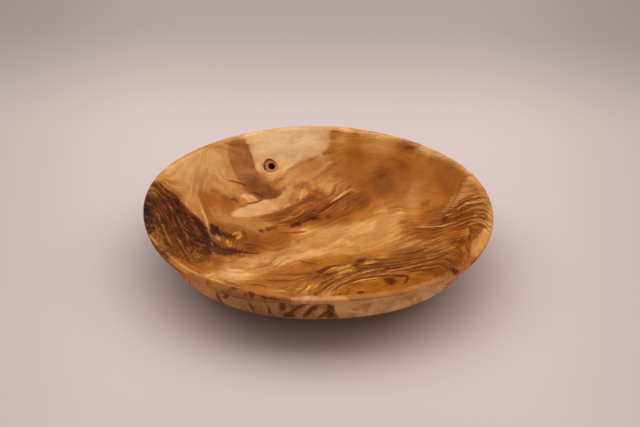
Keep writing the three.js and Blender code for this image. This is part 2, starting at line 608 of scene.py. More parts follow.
@dataclass(frozen=True)
class KnotSeat:
    """The knot's outline and the place where it sits in the inside wall."""

    outline: PlateOutline
    bearing: float = 111.8
    below_lip: float = 25.8
    width: float = 10.7
    tallness: float = 10.7
    depth: float = 4.4
    taper: float = 0.8
    lobe_count: int = 3
    lobes: float = 0.07
    pit_width: float = 4.4
    pit_depth: float = 2.6
    pit_shift: float = 0.9
    pit_drop: float = 0.45
    gap: float = 0.3
    sides: int = 60
    levels: int = 12
    bowl_steps: int = 10

    def frame(self) -> Matrix:
        """Finds the knot's place on the seasoned wall.

        Returns:
            Its frame: x round the plate, y up the wall and z out of the wood.
        """
        run = self.outline.inside()[::-1]
        crown = self.outline.arc_steps
        walked = 0.0
        for upper, lower in zip(run[crown:], run[crown + 1:]):
            step = (upper - lower).length
            if walked + step >= self.below_lip:
                break
            walked += step
        place = upper.lerp(lower, (self.below_lip - walked) / step)
        up = (upper - lower).normalized()
        bearing = math.radians(self.bearing)
        away = Vector((math.cos(bearing), math.sin(bearing), 0.0))
        up_wall = away * up.x + Vector((0, 0, up.y))
        out_of_wood = -away * up.y + Vector((0, 0, up.x))
        flat = away * place.x * MM + Vector((0, 0, place.y * MM))
        middle = Vector(self.outline.seasoned(np.array([flat]))[0])
        turned = Matrix((up_wall.cross(out_of_wood), up_wall, out_of_wood)).transposed()
        return Matrix.Translation(middle) @ turned.to_4x4()

    def stub(self, name: str, margin: float, top: float, bottom: float) -> bpy.types.Object:
        """A tapered stub with the knot's outline.

        Args:
            name: What to call it.
            margin: Millimetres by which it is grown all round.
            top: Its upper end, in millimetres out of the wood.
            bottom: Its lower end.

        Returns:
            The stub in its place.
        """
        slope = (1 - self.taper) / self.depth
        levels = [top + (bottom - top) * i / self.levels for i in range(self.levels + 1)]
        outline = [Vector((0.0, bottom))]
        outline += [Vector((1 + slope * level, level)) for level in levels[::-1]]
        outline += [Vector((0.0, top))]
        made = spun(outline, self.sides)
        for vert in made.verts:
            share = math.hypot(vert.co.x, vert.co.y) / MM
            if share < ON_AXIS:
                continue
            angle = math.atan2(vert.co.y, vert.co.x)
            lobed = 1 + self.lobes * math.cos(self.lobe_count * angle + math.pi / 2)
            oval = Vector((math.cos(angle) * self.width, math.sin(angle) * self.tallness))
            half = oval * lobed * share / 2
            half *= (half.length + margin) / half.length * MM
            vert.co.x, vert.co.y = half
        bmesh.ops.transform(made, matrix=self.frame(), verts=made.verts)
        return placed(made, name)

    def pit(self, name: str) -> bpy.types.Object:
        """The round-bottomed hole in the knot's heart.

        Args:
            name: What to call it.

        Returns:
            The hole's shape in its place.
        """
        half = self.pit_width / 2
        bowl = arc(Vector((0, 0)), 1.0, -90, 0, self.bowl_steps)
        outline = [Vector((point.x * half, point.y * self.pit_depth)) for point in bowl]
        outline += [Vector((half, self.depth)), Vector((0.0, self.depth))]
        made = spun(outline, self.sides)
        shift = Matrix.Translation((self.pit_shift * MM, -self.pit_drop * MM, 0))
        bmesh.ops.transform(made, matrix=self.frame() @ shift, verts=made.verts)
        return placed(made, name)


# Studio

@dataclass(frozen=True)
class Viewpoint:
    """Where the plate is looked at from. The pixel is in a frame of 640 by 427."""

    frame_width: int = 640
    frame_height: int = 427
    rim_centre_pixel: tuple[float, float] = (318.2, 206.6)
    rim_height: float = 46.0
    distance: float = 1280.7
    elevation: float = 30.083
    roll: float = 1.042
    focal_length: float = 101.25
    sensor_width: float = 36.0

    def build(self) -> None:
        """Makes the camera and hands it to the scene."""
        data = bpy.data.cameras.new("viewpoint")
        data.lens = self.focal_length
        data.sensor_width = self.sensor_width
        camera = bpy.data.objects.new("viewpoint", data)
        bpy.context.scene.collection.objects.link(camera)
        raised = math.radians(self.elevation)
        back = Vector((0.0, -math.cos(raised), math.sin(raised)))
        right = Vector((1.0, 0.0, 0.0))
        up = back.cross(right)
        pixels = self.focal_length / self.sensor_width * self.frame_width
        across = (self.rim_centre_pixel[0] - self.frame_width / 2) / pixels
        above = (self.frame_height / 2 - self.rim_centre_pixel[1]) / pixels
        level = Matrix((right, up, back)).transposed().to_4x4()
        aimed = Matrix.Rotation(across, 4, "Y") @ Matrix.Rotation(-above, 4, "X")
        rolled = Matrix.Rotation(math.radians(self.roll), 4, "Z")
        place = back * self.distance * MM + Vector((0, 0, self.rim_height * MM))
        camera.matrix_world = Matrix.Translation(place) @ level @ aimed @ rolled
        bpy.context.scene.camera = camera


@dataclass(frozen=True)
class Studio:
    """A plain pale floor, darkened far off and to both sides by painted shade so that it runs out towards
    the backdrop's colour, one broad lamp and a little sky.
    """

    floor_reach: float = 6.0
    floor_roughness: float = 0.9
    floor_shine: float = 0.1
    lamp_place: tuple[float, float, float] = (0.1, 0.23, 1.0)
    lamp_width: float = 3.2
    lamp_depth: float = 1.3
    lamp_power: float = 18.6
    sky_strength: float = 0.34
    sky_colour: tuple[float, float, float, float] = (1.0, 0.985, 0.97, 1.0)
    floor_colour: tuple[float, float, float, float] = linear(216, 197, 194)
    backdrop_colour: tuple[float, float, float, float] = linear(170, 154, 152)
    far_shade_starts: float = 180.0
    far_shade_ends: float = 430.0
    far_painted_shade: float = 0.34
    side_shade_starts: float = 120.0
    side_shade_ends: float = 320.0
    side_painted_shade: float = 0.24

    def floor(self) -> None:
        """Lays the floor, a flat square whose top is the table, with painted shade that dims its colour far
        off and to both sides.
        """
        made = bmesh.new()
        bmesh.ops.create_grid(made, x_segments=1, y_segments=1, size=self.floor_reach)
        ground = placed(made, "studio_floor")
        shader = Shader("pale_floor_painted_shade")
        place = shader.node("ShaderNodeTexCoord").outputs["Object"]
        right, far, _ = shader.split(shader.vector("DIVIDE", place, (MM, MM, MM)))
        # Painted shade: the floor's colour is dimmed with distance behind the plate and to both sides,
        # standing in for the lamp's falloff
        painted_dimming = 1 - far.step(self.far_shade_starts, self.far_shade_ends) * self.far_painted_shade
        painted_dimming = painted_dimming * (1 - abs(right).step(self.side_shade_starts, self.side_shade_ends) * self.side_painted_shade)
        shaded = shader.vector("MULTIPLY", self.floor_colour[:3], shader.join(painted_dimming, painted_dimming, painted_dimming))
        shader.plug(shader.surface.inputs["Base Color"], shaded)
        shader.surface.inputs["Roughness"].default_value = self.floor_roughness
        shader.surface.inputs["Specular IOR Level"].default_value = self.floor_shine
        coat(ground, shader.material)

    def lamp(self) -> None:
        """Hangs the broad lamp overhead, a little behind the plate and to its right."""
        data = bpy.data.lights.new("overhead_lamp", "AREA")
        data.shape = "RECTANGLE"
        data.size = self.lamp_width
        data.size_y = self.lamp_depth
        data.energy = self.lamp_power
        lamp = bpy.data.objects.new("overhead_lamp", data)
        lamp.location = self.lamp_place
        lamp.visible_camera = False
        bpy.context.scene.collection.objects.link(lamp)

    def sky(self) -> None:
        """Makes an even sky: weak light, with the backdrop's colour where it is seen or mirrored."""
        world = bpy.data.worlds.new("studio_sky")
        world.use_nodes = True
        graph = Graph(world.node_tree)
        rays = graph.node("ShaderNodeLightPath")
        seen = Field(graph, rays.outputs["Is Camera Ray"])
        for kind in ("Is Glossy Ray", "Is Transmission Ray"):
            seen = seen.most(Field(graph, rays.outputs[kind]))
        lit = {"Color": self.sky_colour, "Strength": self.sky_strength}
        light = graph.node("ShaderNodeBackground", None, lit).outputs[0]
        backdrop = graph.node("ShaderNodeBackground", None, {"Color": self.backdrop_colour}).outputs[0]
        chosen = graph.node("ShaderNodeMixShader", None, {0: seen, 1: light, 2: backdrop})
        graph.node("ShaderNodeOutputWorld", None, {"Surface": chosen.outputs[0]})
        bpy.context.scene.world = world

    def build(self) -> None:
        """Makes the floor, the lamp and the sky."""
        self.floor()
        self.lamp()
        self.sky()


# Figure of the wood

Place = tuple[float, float]
Outline = tuple[Place, ...]

# The depth of a place that is far from all of a stain, in millimetres
FAR_OFF = -20.0
# How much of a side each cut of a corner takes, and how often corners are cut
CORNER_CUT = 0.25
CORNER_CUTS = 2
# How far the growth function may stay off its lines, so that it bends gently
GIVE = 40.0


class Side(Enum):
    """Which face of the plate a stain is on."""

    INSIDE = "inside"
    OUTSIDE = "outside"
    THROUGH = "through"


class Colour(Enum):
    """The woods' colours, as they look in plain light."""

    BRIGHT_SAPWOOD = linear(236, 187, 130)
    SAPWOOD = linear(230, 181, 125)
    WARM_SAPWOOD = linear(230, 158, 90)
    STRAW = linear(219, 159, 92)
    HONEY = linear(202, 138, 71)
    CARAMEL = linear(178, 107, 41)
    ORANGE = linear(178, 103, 29)
    RUSSET = linear(148, 72, 8)
    ROSE_BROWN = linear(166, 97, 38)
    UMBER = linear(136, 70, 17)
    SMOKE = linear(118, 61, 17)
    TAN_BROWN = linear(168, 101, 49)
    GOLD = linear(156, 84, 8)
    YELLOW = linear(188, 119, 40)
    HEART = linear(95, 43, 11)
    BLACK_HEART = linear(55, 25, 11)
    INK = linear(84, 26, 6)
    CHESTNUT = linear(158, 86, 22)
    GREY_ROSE = linear(124, 66, 19)
    OUTER_TAN = linear(174, 124, 74)
    PALE_TAN = linear(224, 166, 106)
    LEAF = linear(218, 160, 104)
    WARM_TAN = linear(212, 138, 74)
    ROSE_TAN = linear(176, 108, 58)
    PINK_TAN = linear(214, 147, 96)
    LIP_BROWN = linear(142, 83, 46)


@dataclass(frozen=True)
class Stroke:
    """A line of colour that tapers towards both ends."""

    width: float
    path: Outline


@dataclass(frozen=True)
class Stain:
    """A colour that lies in patches and strokes, whose edges are soft and frayed along the grain. Most are
    the wood's own colours; a few on the rim and lip are painted sheen or painted light.

    Its places are (right, far) in millimetres, on the skin laid flat from the middle of the inside.
    """

    name: str
    colour: Colour
    soft: float
    fray: float
    strength: float
    patches: tuple[Outline, ...] = ()
    strokes: tuple[Stroke, ...] = ()
    side: Side = Side.INSIDE


@dataclass(frozen=True)
class Growth:
    """One growth line of the wood: how far it is across the grain, and where it runs."""

    across: float
    path: Outline


@dataclass(frozen=True)
class Temper:
    """A region whose grain is livelier or calmer than elsewhere, and may swirl."""

    liveliness: float
    soft: float
    swirl: float
    patches: tuple[Outline, ...]


def rounded(path: Outline, closed: bool) -> np.ndarray:
    """Cuts a path's corners over and over, so that it runs in curves.

    Args:
        path: Its corners.
        closed: Whether its end joins its start.

    Returns:
        The new corners.
    """
    points = np.array(path)
    near, far = 1 - CORNER_CUT, CORNER_CUT
    for _ in range(CORNER_CUTS):
        after = np.roll(points, -1, axis=0) if closed else points[1:]
        before = points if closed else points[:-1]
        cut = np.stack([near * before + far * after, far * before + near * after], 1).reshape(-1, 2)
        points = cut if closed else np.vstack([points[:1], cut, points[-1:]])
    return points


def nearest(places: np.ndarray, corners: np.ndarray) -> tuple[np.ndarray, np.ndarray]:
    """How near places lie to a path.

    Args:
        places: The places, one a row.
        corners: The path's corners.

    Returns:
        The distance to it, and how far along it the nearest point is, from 0 to 1.
    """
    lengths = np.linalg.norm(np.diff(corners, axis=0), axis=1)
    walked = np.concatenate([[0.0], np.cumsum(lengths)])
    best, along = np.full(len(places), np.inf), np.zeros(len(places))
    for index, (start, end) in enumerate(zip(corners, corners[1:])):
        run = end - start
        share = np.clip((places - start) @ run / max(run @ run, SPECK), 0, 1)
        away = np.linalg.norm(places - start - share[:, None] * run, axis=1)
        closer = away < best
        best[closer] = away[closer]
        along[closer] = (walked[index] + share[closer] * lengths[index]) / walked[-1]
    return best, along


def depth_in_patch(places: np.ndarray, patch: Outline) -> np.ndarray:
    """How deep places lie inside a patch.

    Args:
        places: The places, one a row.
        patch: The patch's corners.

    Returns:
        The depth at each place, less than 0 outside.
    """
    corners = rounded(patch, closed=True)
    ring = np.vstack([corners, corners[:1]])
    distance, _ = nearest(places, ring)
    inside = np.zeros(len(places), dtype=bool)
    for (x1, y1), (x2, y2) in zip(ring, ring[1:]):
        crosses = (y1 > places[:, 1]) != (y2 > places[:, 1])
        rise = y2 - y1 if y2 != y1 else SPECK
        inside ^= crosses & (places[:, 0] < x1 + (places[:, 1] - y1) * (x2 - x1) / rise)
    return np.where(inside, distance, -distance)


def depth_in_stroke(places: np.ndarray, stroke: Stroke) -> np.ndarray:
    """How deep places lie inside a tapered stroke.

    Args:
        places: The places, one a row.
        stroke: The stroke.

    Returns:
        The depth at each place, less than 0 outside.
    """
    distance, along = nearest(places, rounded(stroke.path, closed=False))
    half = stroke.width / 2 * np.sqrt(np.clip(4 * along * (1 - along), 0, 1))
    return half - distance


def deepest(places: np.ndarray, stain: Stain) -> np.ndarray:
    """How deep places lie inside any patch or stroke of a stain.

    Args:
        places: The places, one a row.
        stain: The stain.

    Returns:
        The depth at each place, less than 0 outside.
    """
    depth = np.full(len(places), FAR_OFF)
    shapes = [(patch, patch, depth_in_patch) for patch in stain.patches]
    shapes += [(stroke.path, stroke, depth_in_stroke) for stroke in stain.strokes]
    for path, shape, measure in shapes:
        low = np.min(path, axis=0) + FAR_OFF
        high = np.max(path, axis=0) - FAR_OFF
        close = np.all((places > low) & (places < high), axis=1)
        depth[close] = np.maximum(depth[close], measure(places[close], shape))
    return depth


def growth_across(places: np.ndarray, lines: Sequence[Growth]) -> np.ndarray:
    """How far across the grain places are, by the thinnest plate bent through all growth lines.

    Args:
        places: The places, one a row.
        lines: The growth lines.

    Returns:
        The distance across the grain at each place.
    """
    knots = np.array([point for line in lines for point in line.path])
    values = np.array([line.across for line in lines for _ in line.path])

    def bend(first: np.ndarray, second: np.ndarray) -> np.ndarray:
        """How much a load at one place bends the plate at another."""
        squared = ((first[:, None] - second[None]) ** 2).sum(-1)
        return squared * np.log(squared + SPECK)

    def flat(points: np.ndarray) -> np.ndarray:
        """The unbent plate's three terms."""
        return np.column_stack([np.ones(len(points)), points])

    count = len(knots)
    top = np.hstack([bend(knots, knots) + GIVE * np.eye(count), flat(knots)])
    bottom = np.hstack([flat(knots).T, np.zeros((3, 3))])
    loads = np.linalg.solve(np.vstack([top, bottom]), np.concatenate([values, np.zeros(3)]))
    return bend(places, knots) @ loads[:count] + flat(places) @ loads[count:]


GROWTH_LINES = (
    Growth(-106.0, ((-134, -18), (-128, -38), (-120, -58))),
    Growth(-96.0, ((-134, 4), (-126, -4), (-118, -17), (-111, -36), (-105, -54))),
    Growth(-85.0, ((-134, 16), (-122, 6), (-113, -3), (-104, -12), (-98, -25), (-96, -44))),
    Growth(-73.0, ((-134, 25), (-126, 21), (-115, 15), (-106, 9), (-98, -2), (-92, -18), (-90, -38))),
    Growth(-60.0, ((-134, 33), (-120, 32), (-104, 29), (-95, 23), (-85, 17), (-81, 6), (-76, -6),
                   (-76, -18))),
    Growth(-92.0, ((-127, 44), (-116, 64), (-102, 84))),
    Growth(-70.0, ((-104, 60), (-104, 46))),
    Growth(-57.0, ((-92, 95), (-74, 106), (-45, 117), (-15, 122), (15, 123), (42, 118), (68, 106),
                   (90, 90))),
    Growth(-50.0, ((-92, 76), (-95, 60), (-91, 42), (-86, 30), (-80, 16), (-77, 4), (-71, -8))),
    Growth(-46.0, ((-90, 90), (-80, 82), (-67, 76), (-50, 74), (-36, 80), (-24, 92))),
    Growth(-38.0, ((-74, 60), (-72, 42), (-60, 37), (-45, 39), (-28, 47), (-15, 62), (-3, 78), (5, 90))),
    Growth(-38.0, ((18, 100), (40, 104), (62, 98), (82, 84))),
    Growth(-27.0, ((-66, 22), (-45, 23), (-30, 29), (-18, 33), (-4, 45), (8, 57), (20, 67), (32, 76),
                   (50, 84))),
    Growth(-8.0, ((-74, -32), (-59, -26), (-44, -20), (-30, -8))),
    Growth(-13.0, ((-58, -4), (-38, 6), (-20, 17), (-2, 30), (14, 42), (30, 55), (50, 64), (74, 60),
                   (98, 44))),
    Growth(0.0, ((-76, -50), (-62, -40), (-44, -35), (-30, -24), (-10, -6), (10, 9), (28, 26), (45, 40),
                 (62, 44))),
    Growth(0.0, ((80, 36), (100, 28), (113, 18), (124, 8), (132, -2))),
    Growth(20.0, ((-72, -58), (-57, -50), (-43, -43), (-30, -36), (-16, -22), (0, -12), (12, -7),
                  (25, -3))),
    Growth(20.0, ((40, 3), (60, 13), (72, 19), (84, 14.5), (96, 11), (108, 6), (117, -1), (126, -12),
                  (131, -26))),
    Growth(38.0, ((-66, -62), (-50, -57), (-36, -50), (-17, -38), (-3, -30), (8, -23), (16, -19), (28, -14),
                  (42, -10))),
    Growth(38.0, ((56, -7), (72, -4), (86, -3), (100, -4), (110, -10), (117, -20), (121, -34), (122, -60))),
    Growth(50.0, ((-50, -68), (-34, -62), (-20, -54), (-8, -43), (7, -32), (16, -26), (28, -20), (44, -17),
                  (62, -18.5))),
    Growth(50.0, ((76, -20), (90, -21), (100, -28), (106, -44), (109, -66), (108, -88))),
    Growth(58.0, ((-8, -70), (-2, -56), (4, -46), (12, -37), (20, -30), (32, -26), (48, -25), (64, -25))),
    Growth(58.0, ((82, -27), (93, -31), (99, -42), (102, -62), (102, -86))),
    Growth(66.0, ((3, -72), (8, -57), (14, -48), (24, -39), (34, -34), (46, -32), (60, -31.5),
                  (76, -29.5))),
    Growth(66.0, ((88, -35), (94, -50), (97, -72), (97, -94))),
    Growth(74.0, ((10, -72), (14, -56), (20, -48.5), (29, -42), (38, -40.5), (50, -40), (61, -43),
                  (76, -46))),
    Growth(74.0, ((85, -55), (90, -74), (90, -98))),
    Growth(86.0, ((22, -80), (30, -62), (40, -52), (52, -49), (62, -54), (72, -68), (78, -86), (78, -106))),
    Growth(100.0, ((40, -96), (50, -76), (60, -82), (64, -104))),
)

STAINS = (
    Stain("outer_ground", Colour.OUTER_TAN, 6.0, 2.0, 1.0, side=Side.OUTSIDE, patches=(
        ((-170, -170), (170, -170), (170, 170), (-170, 170)),
    )),
    Stain("orange_ground", Colour.ORANGE, 9.0, 7.0, 0.95, patches=(
        ((7, 125), (22, 123), (40, 120), (58, 112), (70, 106), (86, 93), (100, 77), (112, 58), (110, 46),
         (98, 40), (90, 28), (84, 36), (72, 46), (62, 62), (52, 70), (46, 56), (34, 46), (24, 46), (10, 42),
         (4, 50), (18, 62), (32, 74), (30, 84), (14, 98), (8, 110)),
        ((-12, -16), (-4, -12), (2, -8), (18, -7), (28, -9), (26, -18), (14, -21), (8, -24), (4, -28),
         (-4, -34), (-18, -38), (-30, -42), (-34, -46), (-30, -52), (-42, -64), (-56, -62), (-44, -52),
         (-36, -42), (-28, -36), (-26, -31), (-20, -23)),
    )),
    Stain("chestnut_ground", Colour.CHESTNUT, 7.0, 6.0, 0.92, patches=(
        ((-94, 50), (-92, 60), (-84, 64), (-70, 62), (-61, 60), (-60, 52), (-64, 44), (-66, 36), (-56, 33),
         (-46, 36), (-36, 38), (-28, 32), (-22, 24), (-20, 12), (-30, 6), (-38, -2), (-43, -9), (-56, -10),
         (-68, -9), (-75, -8), (-78, 2), (-80, 10), (-84, 24), (-90, 40)),
        ((64, 12), (70, 22), (84, 24), (90, 30), (98, 28), (108, 24), (120, 20), (134, 20), (136, -20),
         (126, -30), (112, -38), (109, -60), (106, -88), (92, -104), (70, -116), (58, -104), (74, -78),
         (82, -56), (88, -42), (96, -34), (98, -24), (84, -28), (82, -8), (68, -2), (58, 4)),
    )),
    Stain("rose_ground", Colour.ROSE_BROWN, 6.0, 6.0, 0.85, patches=(
        ((4, 90), (12, 95), (24, 92), (30, 82), (28, 73), (18, 68), (8, 62), (2, 66), (0, 78)),
        ((-36, -62), (-26, -50), (-12, -45), (-4, -38), (6, -36), (18, -31), (26, -30), (40, -34),
         (28, -40), (18, -47), (12, -56), (8, -66), (-2, -64), (-20, -64)),
        ((60, 4), (74, 4), (84, 0), (97, -4), (98, -14), (95, -26), (86, -27), (78, -18), (64, -14)),
    )),
    Stain("honey_ground", Colour.HONEY, 7.0, 6.0, 0.95, patches=(
        ((-84, -66), (-60, -60), (-45, -50), (-36, -36), (-24, -24), (-13, -13), (0, -6), (18, -5),
         (30, -1), (44, 4), (56, 10), (64, 22), (62, 38), (60, 50), (48, 52), (38, 42), (22, 36), (8, 38),
         (-6, 30), (-12, 20), (-17, 8), (-26, 3), (-33, -2), (-42, -10), (-56, -14), (-66, -24),
         (-70, -44)),
        ((92, 30), (100, 28), (110, 30), (113, 36), (104, 42), (96, 38)),
        ((113, -40), (120, -36), (127, -30), (130, -42), (125, -56), (118, -68), (112, -62)),
        ((-134, 34), (-118, 35), (-104, 34), (-96, 30), (-88, 22), (-84, 20), (-91, 42), (-95, 60),
         (-86, 66), (-66, 66), (-60, 80), (-70, 92), (-74, 106), (-60, 110), (-60, 128), (-90, 108),
         (-116, 78), (-134, 50)),
        ((-38, 84), (-20, 78), (-6, 84), (4, 96), (8, 108), (-6, 106), (-20, 100), (-32, 92)),
        ((-106, 64), (-94, 76), (-76, 84), (-66, 78), (-64, 62), (-75, 55), (-86, 55), (-96, 50)),
    )),
    Stain("straw_streaks", Colour.STRAW, 6.0, 8.0, 0.9, patches=(
        ((-124, 50), (-116, 44), (-108, 52), (-98, 48), (-98, 60), (-94, 72), (-78, 74), (-72, 82),
         (-84, 94), (-98, 92), (-112, 76)),
        ((-70, -50), (-60, -38), (-50, -42), (-46, -52), (-52, -62), (-66, -60)),
        ((-38, -22), (-24, -20), (-12, -12), (-2, -7), (8, -2), (12, 4), (24, 8), (24, 14), (10, 12),
         (2, 8), (-4, 0), (-14, -3), (-26, -8), (-36, -14)),
        ((14, 22), (24, 20), (40, 24), (42, 34), (32, 36), (20, 30)),
        ((-80, -62), (-68, -52), (-64, -70), (-66, -92), (-76, -90)),
    )),
    Stain("sapwood", Colour.SAPWOOD, 4.0, 3.0, 0.97, side=Side.THROUGH, patches=(
        ((-62, 136), (-61, 112), (-58, 106), (-54, 100), (-50, 92), (-44, 86), (-34, 86), (-26, 93),
         (-16, 100), (-6, 104), (3, 108), (7, 116), (9, 126), (9, 138)),
    )),
    # Lightens a band of the far inside wall just under the rim
    Stain("paler_far_wall_band", Colour.BRIGHT_SAPWOOD, 10.0, 2.0, 0.7, patches=(
        ((-54, 119), (-30, 123), (0, 123), (5, 112), (-14, 107), (-34, 104), (-50, 106)),
    )),
    Stain("knot_halo", Colour.WARM_SAPWOOD, 8.0, 1.5, 0.6, patches=(
        ((-50, 92), (-45, 102), (-37, 106), (-28, 100), (-25, 90), (-32, 84), (-42, 84)),
    )),
    # Partly painted sheen: a honey band along the rim's crown, partly the wood's own colour and partly the
    # rim's sheen painted in
    Stain("honey_rim_and_sheen", Colour.HONEY, 4.0, 3.0, 0.9, side=Side.THROUGH, strokes=(
        Stroke(12.0, ((-20, 133), (20, 133), (50, 125), (76, 109.5), (100, 87), (118, 62), (127, 40))),
        Stroke(8.0, ((136, 20), (134, -20), (124, -52))),
        Stroke(9.0, ((-133, 48), (-120, 70), (-100, 92), (-80, 108))),
    )),
    # Partly painted highlight: a pale band along the far crown, partly pale wood and partly the crown's
    # sheen painted in
    Stain("pale_rim_and_highlight", Colour.PALE_TAN, 4.0, 2.0, 0.95, side=Side.THROUGH, strokes=(
        Stroke(12.0, ((-24, 134), (2, 134), (20, 133.5), (52, 124.5), (79, 108.5), (103, 84.5), (122, 56))),
    )),
    Stain("rose_lip", Colour.ROSE_TAN, 2.0, 2.4, 0.95, side=Side.THROUGH, strokes=(
        Stroke(12.0, ((8, -134), (25, -134), (38, -131.5), (48.5, -128), (59.5, -123.5), (70, -117),
                      (79.5, -110), (88.5, -102), (97, -94), (106, -82), (112, -70))),
    )),
    Stain("pink_lip", Colour.PINK_TAN, 3.4, 3.4, 0.9, side=Side.THROUGH, patches=(
        ((-22, -132.5), (-10, -130), (2, -129.5), (12, -129.5), (20, -131), (24, -134), (20, -138),
         (12, -140), (0, -139.5), (-12, -138)),
    )),
    # Painted light: a paler line along the front right lip's lower edge, lifting the shade that falls on
    # its downward face
    Stain("lip_underside_painted_light", Colour.PALE_TAN, 2.2, 1.0, 0.8, side=Side.THROUGH, strokes=(
        Stroke(3.6, ((22, -136), (38, -132.5), (50, -128.5), (62, -123), (74, -116), (86, -107.5),
                     (97, -97), (108, -84))),
    )),
    Stain("brown_lip", Colour.LIP_BROWN, 2.0, 2.4, 0.95, side=Side.THROUGH, patches=(
        ((-93, -94), (-85, -100.5), (-77, -105), (-68, -110.5), (-58.5, -116), (-49.5, -120.5),
         (-40.5, -124.5), (-31.5, -128), (-22.5, -131), (-17, -133), (-19, -136), (-33, -132.5),
         (-48, -127), (-64, -119.5), (-80, -109), (-94, -97.5)),
    )),
    Stain("russet_clouds", Colour.RUSSET, 12.0, 11.0, 0.8, patches=(
        ((58, 97), (65, 98), (72, 90), (70, 81), (61, 81), (56, 89)),
        ((92, 85), (103, 79), (113, 63), (110, 53), (100, 60), (93, 72)),
        ((53, 115), (74, 111), (82, 102), (75, 99), (62, 104)),
        ((97, -46), (106, -60), (112, -74), (105, -87), (98, -85)),
        ((30, 88), (42, 92), (52, 84), (50, 72), (42, 62), (34, 62), (28, 72)),
        ((70, 14), (72, 21), (82, 18), (88, 12), (80, 9)),
        ((-75, -22), (-68, -21), (-66, -30), (-69, -46), (-74, -46), (-77, -34)),
        ((-66, -15), (-57, -12), (-54, -15), (-60, -19), (-66, -22)),
        ((-86, -42), (-81, -39), (-77.5, -43), (-79.5, -54), (-86, -58)),
        ((-82, -31), (-78, -25.5), (-76, -29)),
    ), strokes=(
        Stroke(3.0, ((-54, -60), (-45, -57), (-36, -50.5), (-26, -47), (-14, -44))),
        Stroke(2.6, ((-36, -40.5), (-26, -37), (-17, -37), (-9, -33.5), (-3, -30.5))),
    )),
    Stain("amber_clouds", Colour.HONEY, 13.0, 4.0, 0.6, patches=(
        ((65, 76), (74, 73), (80, 62), (79, 47), (70, 44), (64, 58)),
        ((52, 14), (73, 11), (76, -5), (54, -5)),
        ((34, 121), (60, 117), (64, 105), (46, 103), (34, 110)),
        ((2, 130), (25, 129), (28, 119), (12, 112), (2, 118)),
        ((-7, 97), (6, 97), (9, 78), (-2, 73), (-9, 84)),
        ((44, 35), (57, 37), (61, 20), (57, 3), (46, 1), (43, 18)),
        ((-72, 72), (-63, 75), (-57, 67), (-62, 60), (-71, 62)),
        ((-78, 39), (-64, 35), (-44, 38), (-32, 34), (-42, 22), (-57, 16), (-70, 20), (-80, 27)),
    )),
    Stain("chestnut_clouds", Colour.CHESTNUT, 10.0, 8.0, 0.8, patches=(
        ((20, 109), (33, 111), (39, 98), (30, 84), (18, 88)),
        ((-82, 57), (-75, 61), (-70, 55), (-79, 48)),
        ((86, 92), (106, 80), (118, 66), (118, 54), (106, 44), (97, 50), (90, 73)),
        ((-6, 38), (8, 45), (24, 47), (28, 38), (12, 32), (-4, 30)),
        ((-54, 8), (-32, 14), (-18, 7), (-23, -3), (-40, -10), (-54, -8)),
        ((-12, -12), (4, -12), (18, -15), (17, -25), (4, -27), (-10, -25)),
        ((36, 92), (60, 92), (76, 78), (66, 58), (44, 60)),
    )),
    Stain("pale_clouds", Colour.STRAW, 9.0, 4.0, 0.6, patches=(
        ((-124, 56), (-103, 73), (-85, 75), (-90, 55), (-112, 41)),
        ((122, 29), (136, 19), (138, -5), (123, 0)),
        ((114, 52), (130, 42), (130, 22), (118, 28), (112, 40)),
        ((-42, 92), (-28, 93), (-26, 84), (-40, 81)),
    )),
    Stain("warm_clouds", Colour.CARAMEL, 8.0, 6.0, 0.75, patches=(
        ((-18, 107), (-2, 110), (3, 99), (-4, 89), (-16, 88)),
        ((116, 46), (130, 30), (136, 4), (130, -4), (124, 9), (117, 26)),
        ((-97, 34), (-92, 40), (-88, 38), (-84, 26), (-81, 14), (-85, 14), (-90, 24)),
        ((-128, -44), (-118, -46), (-106, -60), (-96, -80), (-102, -90), (-116, -76), (-126, -60)),
    )),
    Stain("brown_clouds", Colour.GREY_ROSE, 6.0, 6.0, 0.62, patches=(
        ((80, 41), (96, 36), (103, 28), (116, 22), (116, 13), (96, 12), (82, 19), (76, 31)),
        ((44, 96), (55, 94), (59, 84), (56, 70), (50, 64), (42, 68), (38, 82)),
        ((-80, 22), (-63, 26), (-44, 18), (-38, -4), (-62, -12), (-77, -7)),
        ((-9, -32), (6, -28), (6, -38), (-8, -44)),
        ((15, -15), (39, -8), (50, -31), (30, -40), (17, -34)),
        ((54, -4), (74, -4), (98, -22), (102, -60), (98, -94), (86, -100), (76, -76), (70, -52), (60, -38),
         (50, -20)),
    )),
    Stain("smoke_wisps", Colour.SMOKE, 7.0, 8.0, 0.4, patches=(
        ((72, -34), (90, -36), (106, -48), (106, -82), (90, -88), (78, -58)),
        ((-30, -60), (-8, -56), (6, -60), (4, -70), (-20, -72)),
    )),
    Stain("umber_band", Colour.UMBER, 5.0, 7.0, 0.92, patches=(
        ((-28, 49), (-20, 58), (-12, 65), (-4, 76), (0, 80), (3, 70), (10, 62), (24, 70), (36, 76),
         (42, 66), (36, 54), (24, 46), (10, 42), (2, 40), (-10, 36), (-20, 29), (-27, 31), (-34, 36),
         (-44, 39), (-36, 43)),
    )),
    Stain("grey_rose_band", Colour.GREY_ROSE, 5.0, 4.0, 0.9, patches=(
        ((30, -23), (44, -18), (62, -19), (78, -22), (84, -27), (74, -30), (56, -32), (44, -33), (32, -35),
         (26, -30)),
    )),
    Stain("gold_ground", Colour.GOLD, 4.0, 4.0, 0.95, patches=(
        ((13, -66), (17, -55), (25, -48), (36, -42), (46, -42), (58, -44), (68, -43), (80, -46), (86, -58),
         (78, -80), (66, -98), (40, -106), (12, -96)),
    )),
    Stain("fibrous_heart", Colour.SMOKE, 6.0, 7.0, 0.9, side=Side.THROUGH, patches=(
        ((-74, -14), (-100, -10), (-136, -24), (-134, -50), (-120, -76), (-104, -78), (-96, -62),
         (-84, -46), (-76, -34)),
    )),
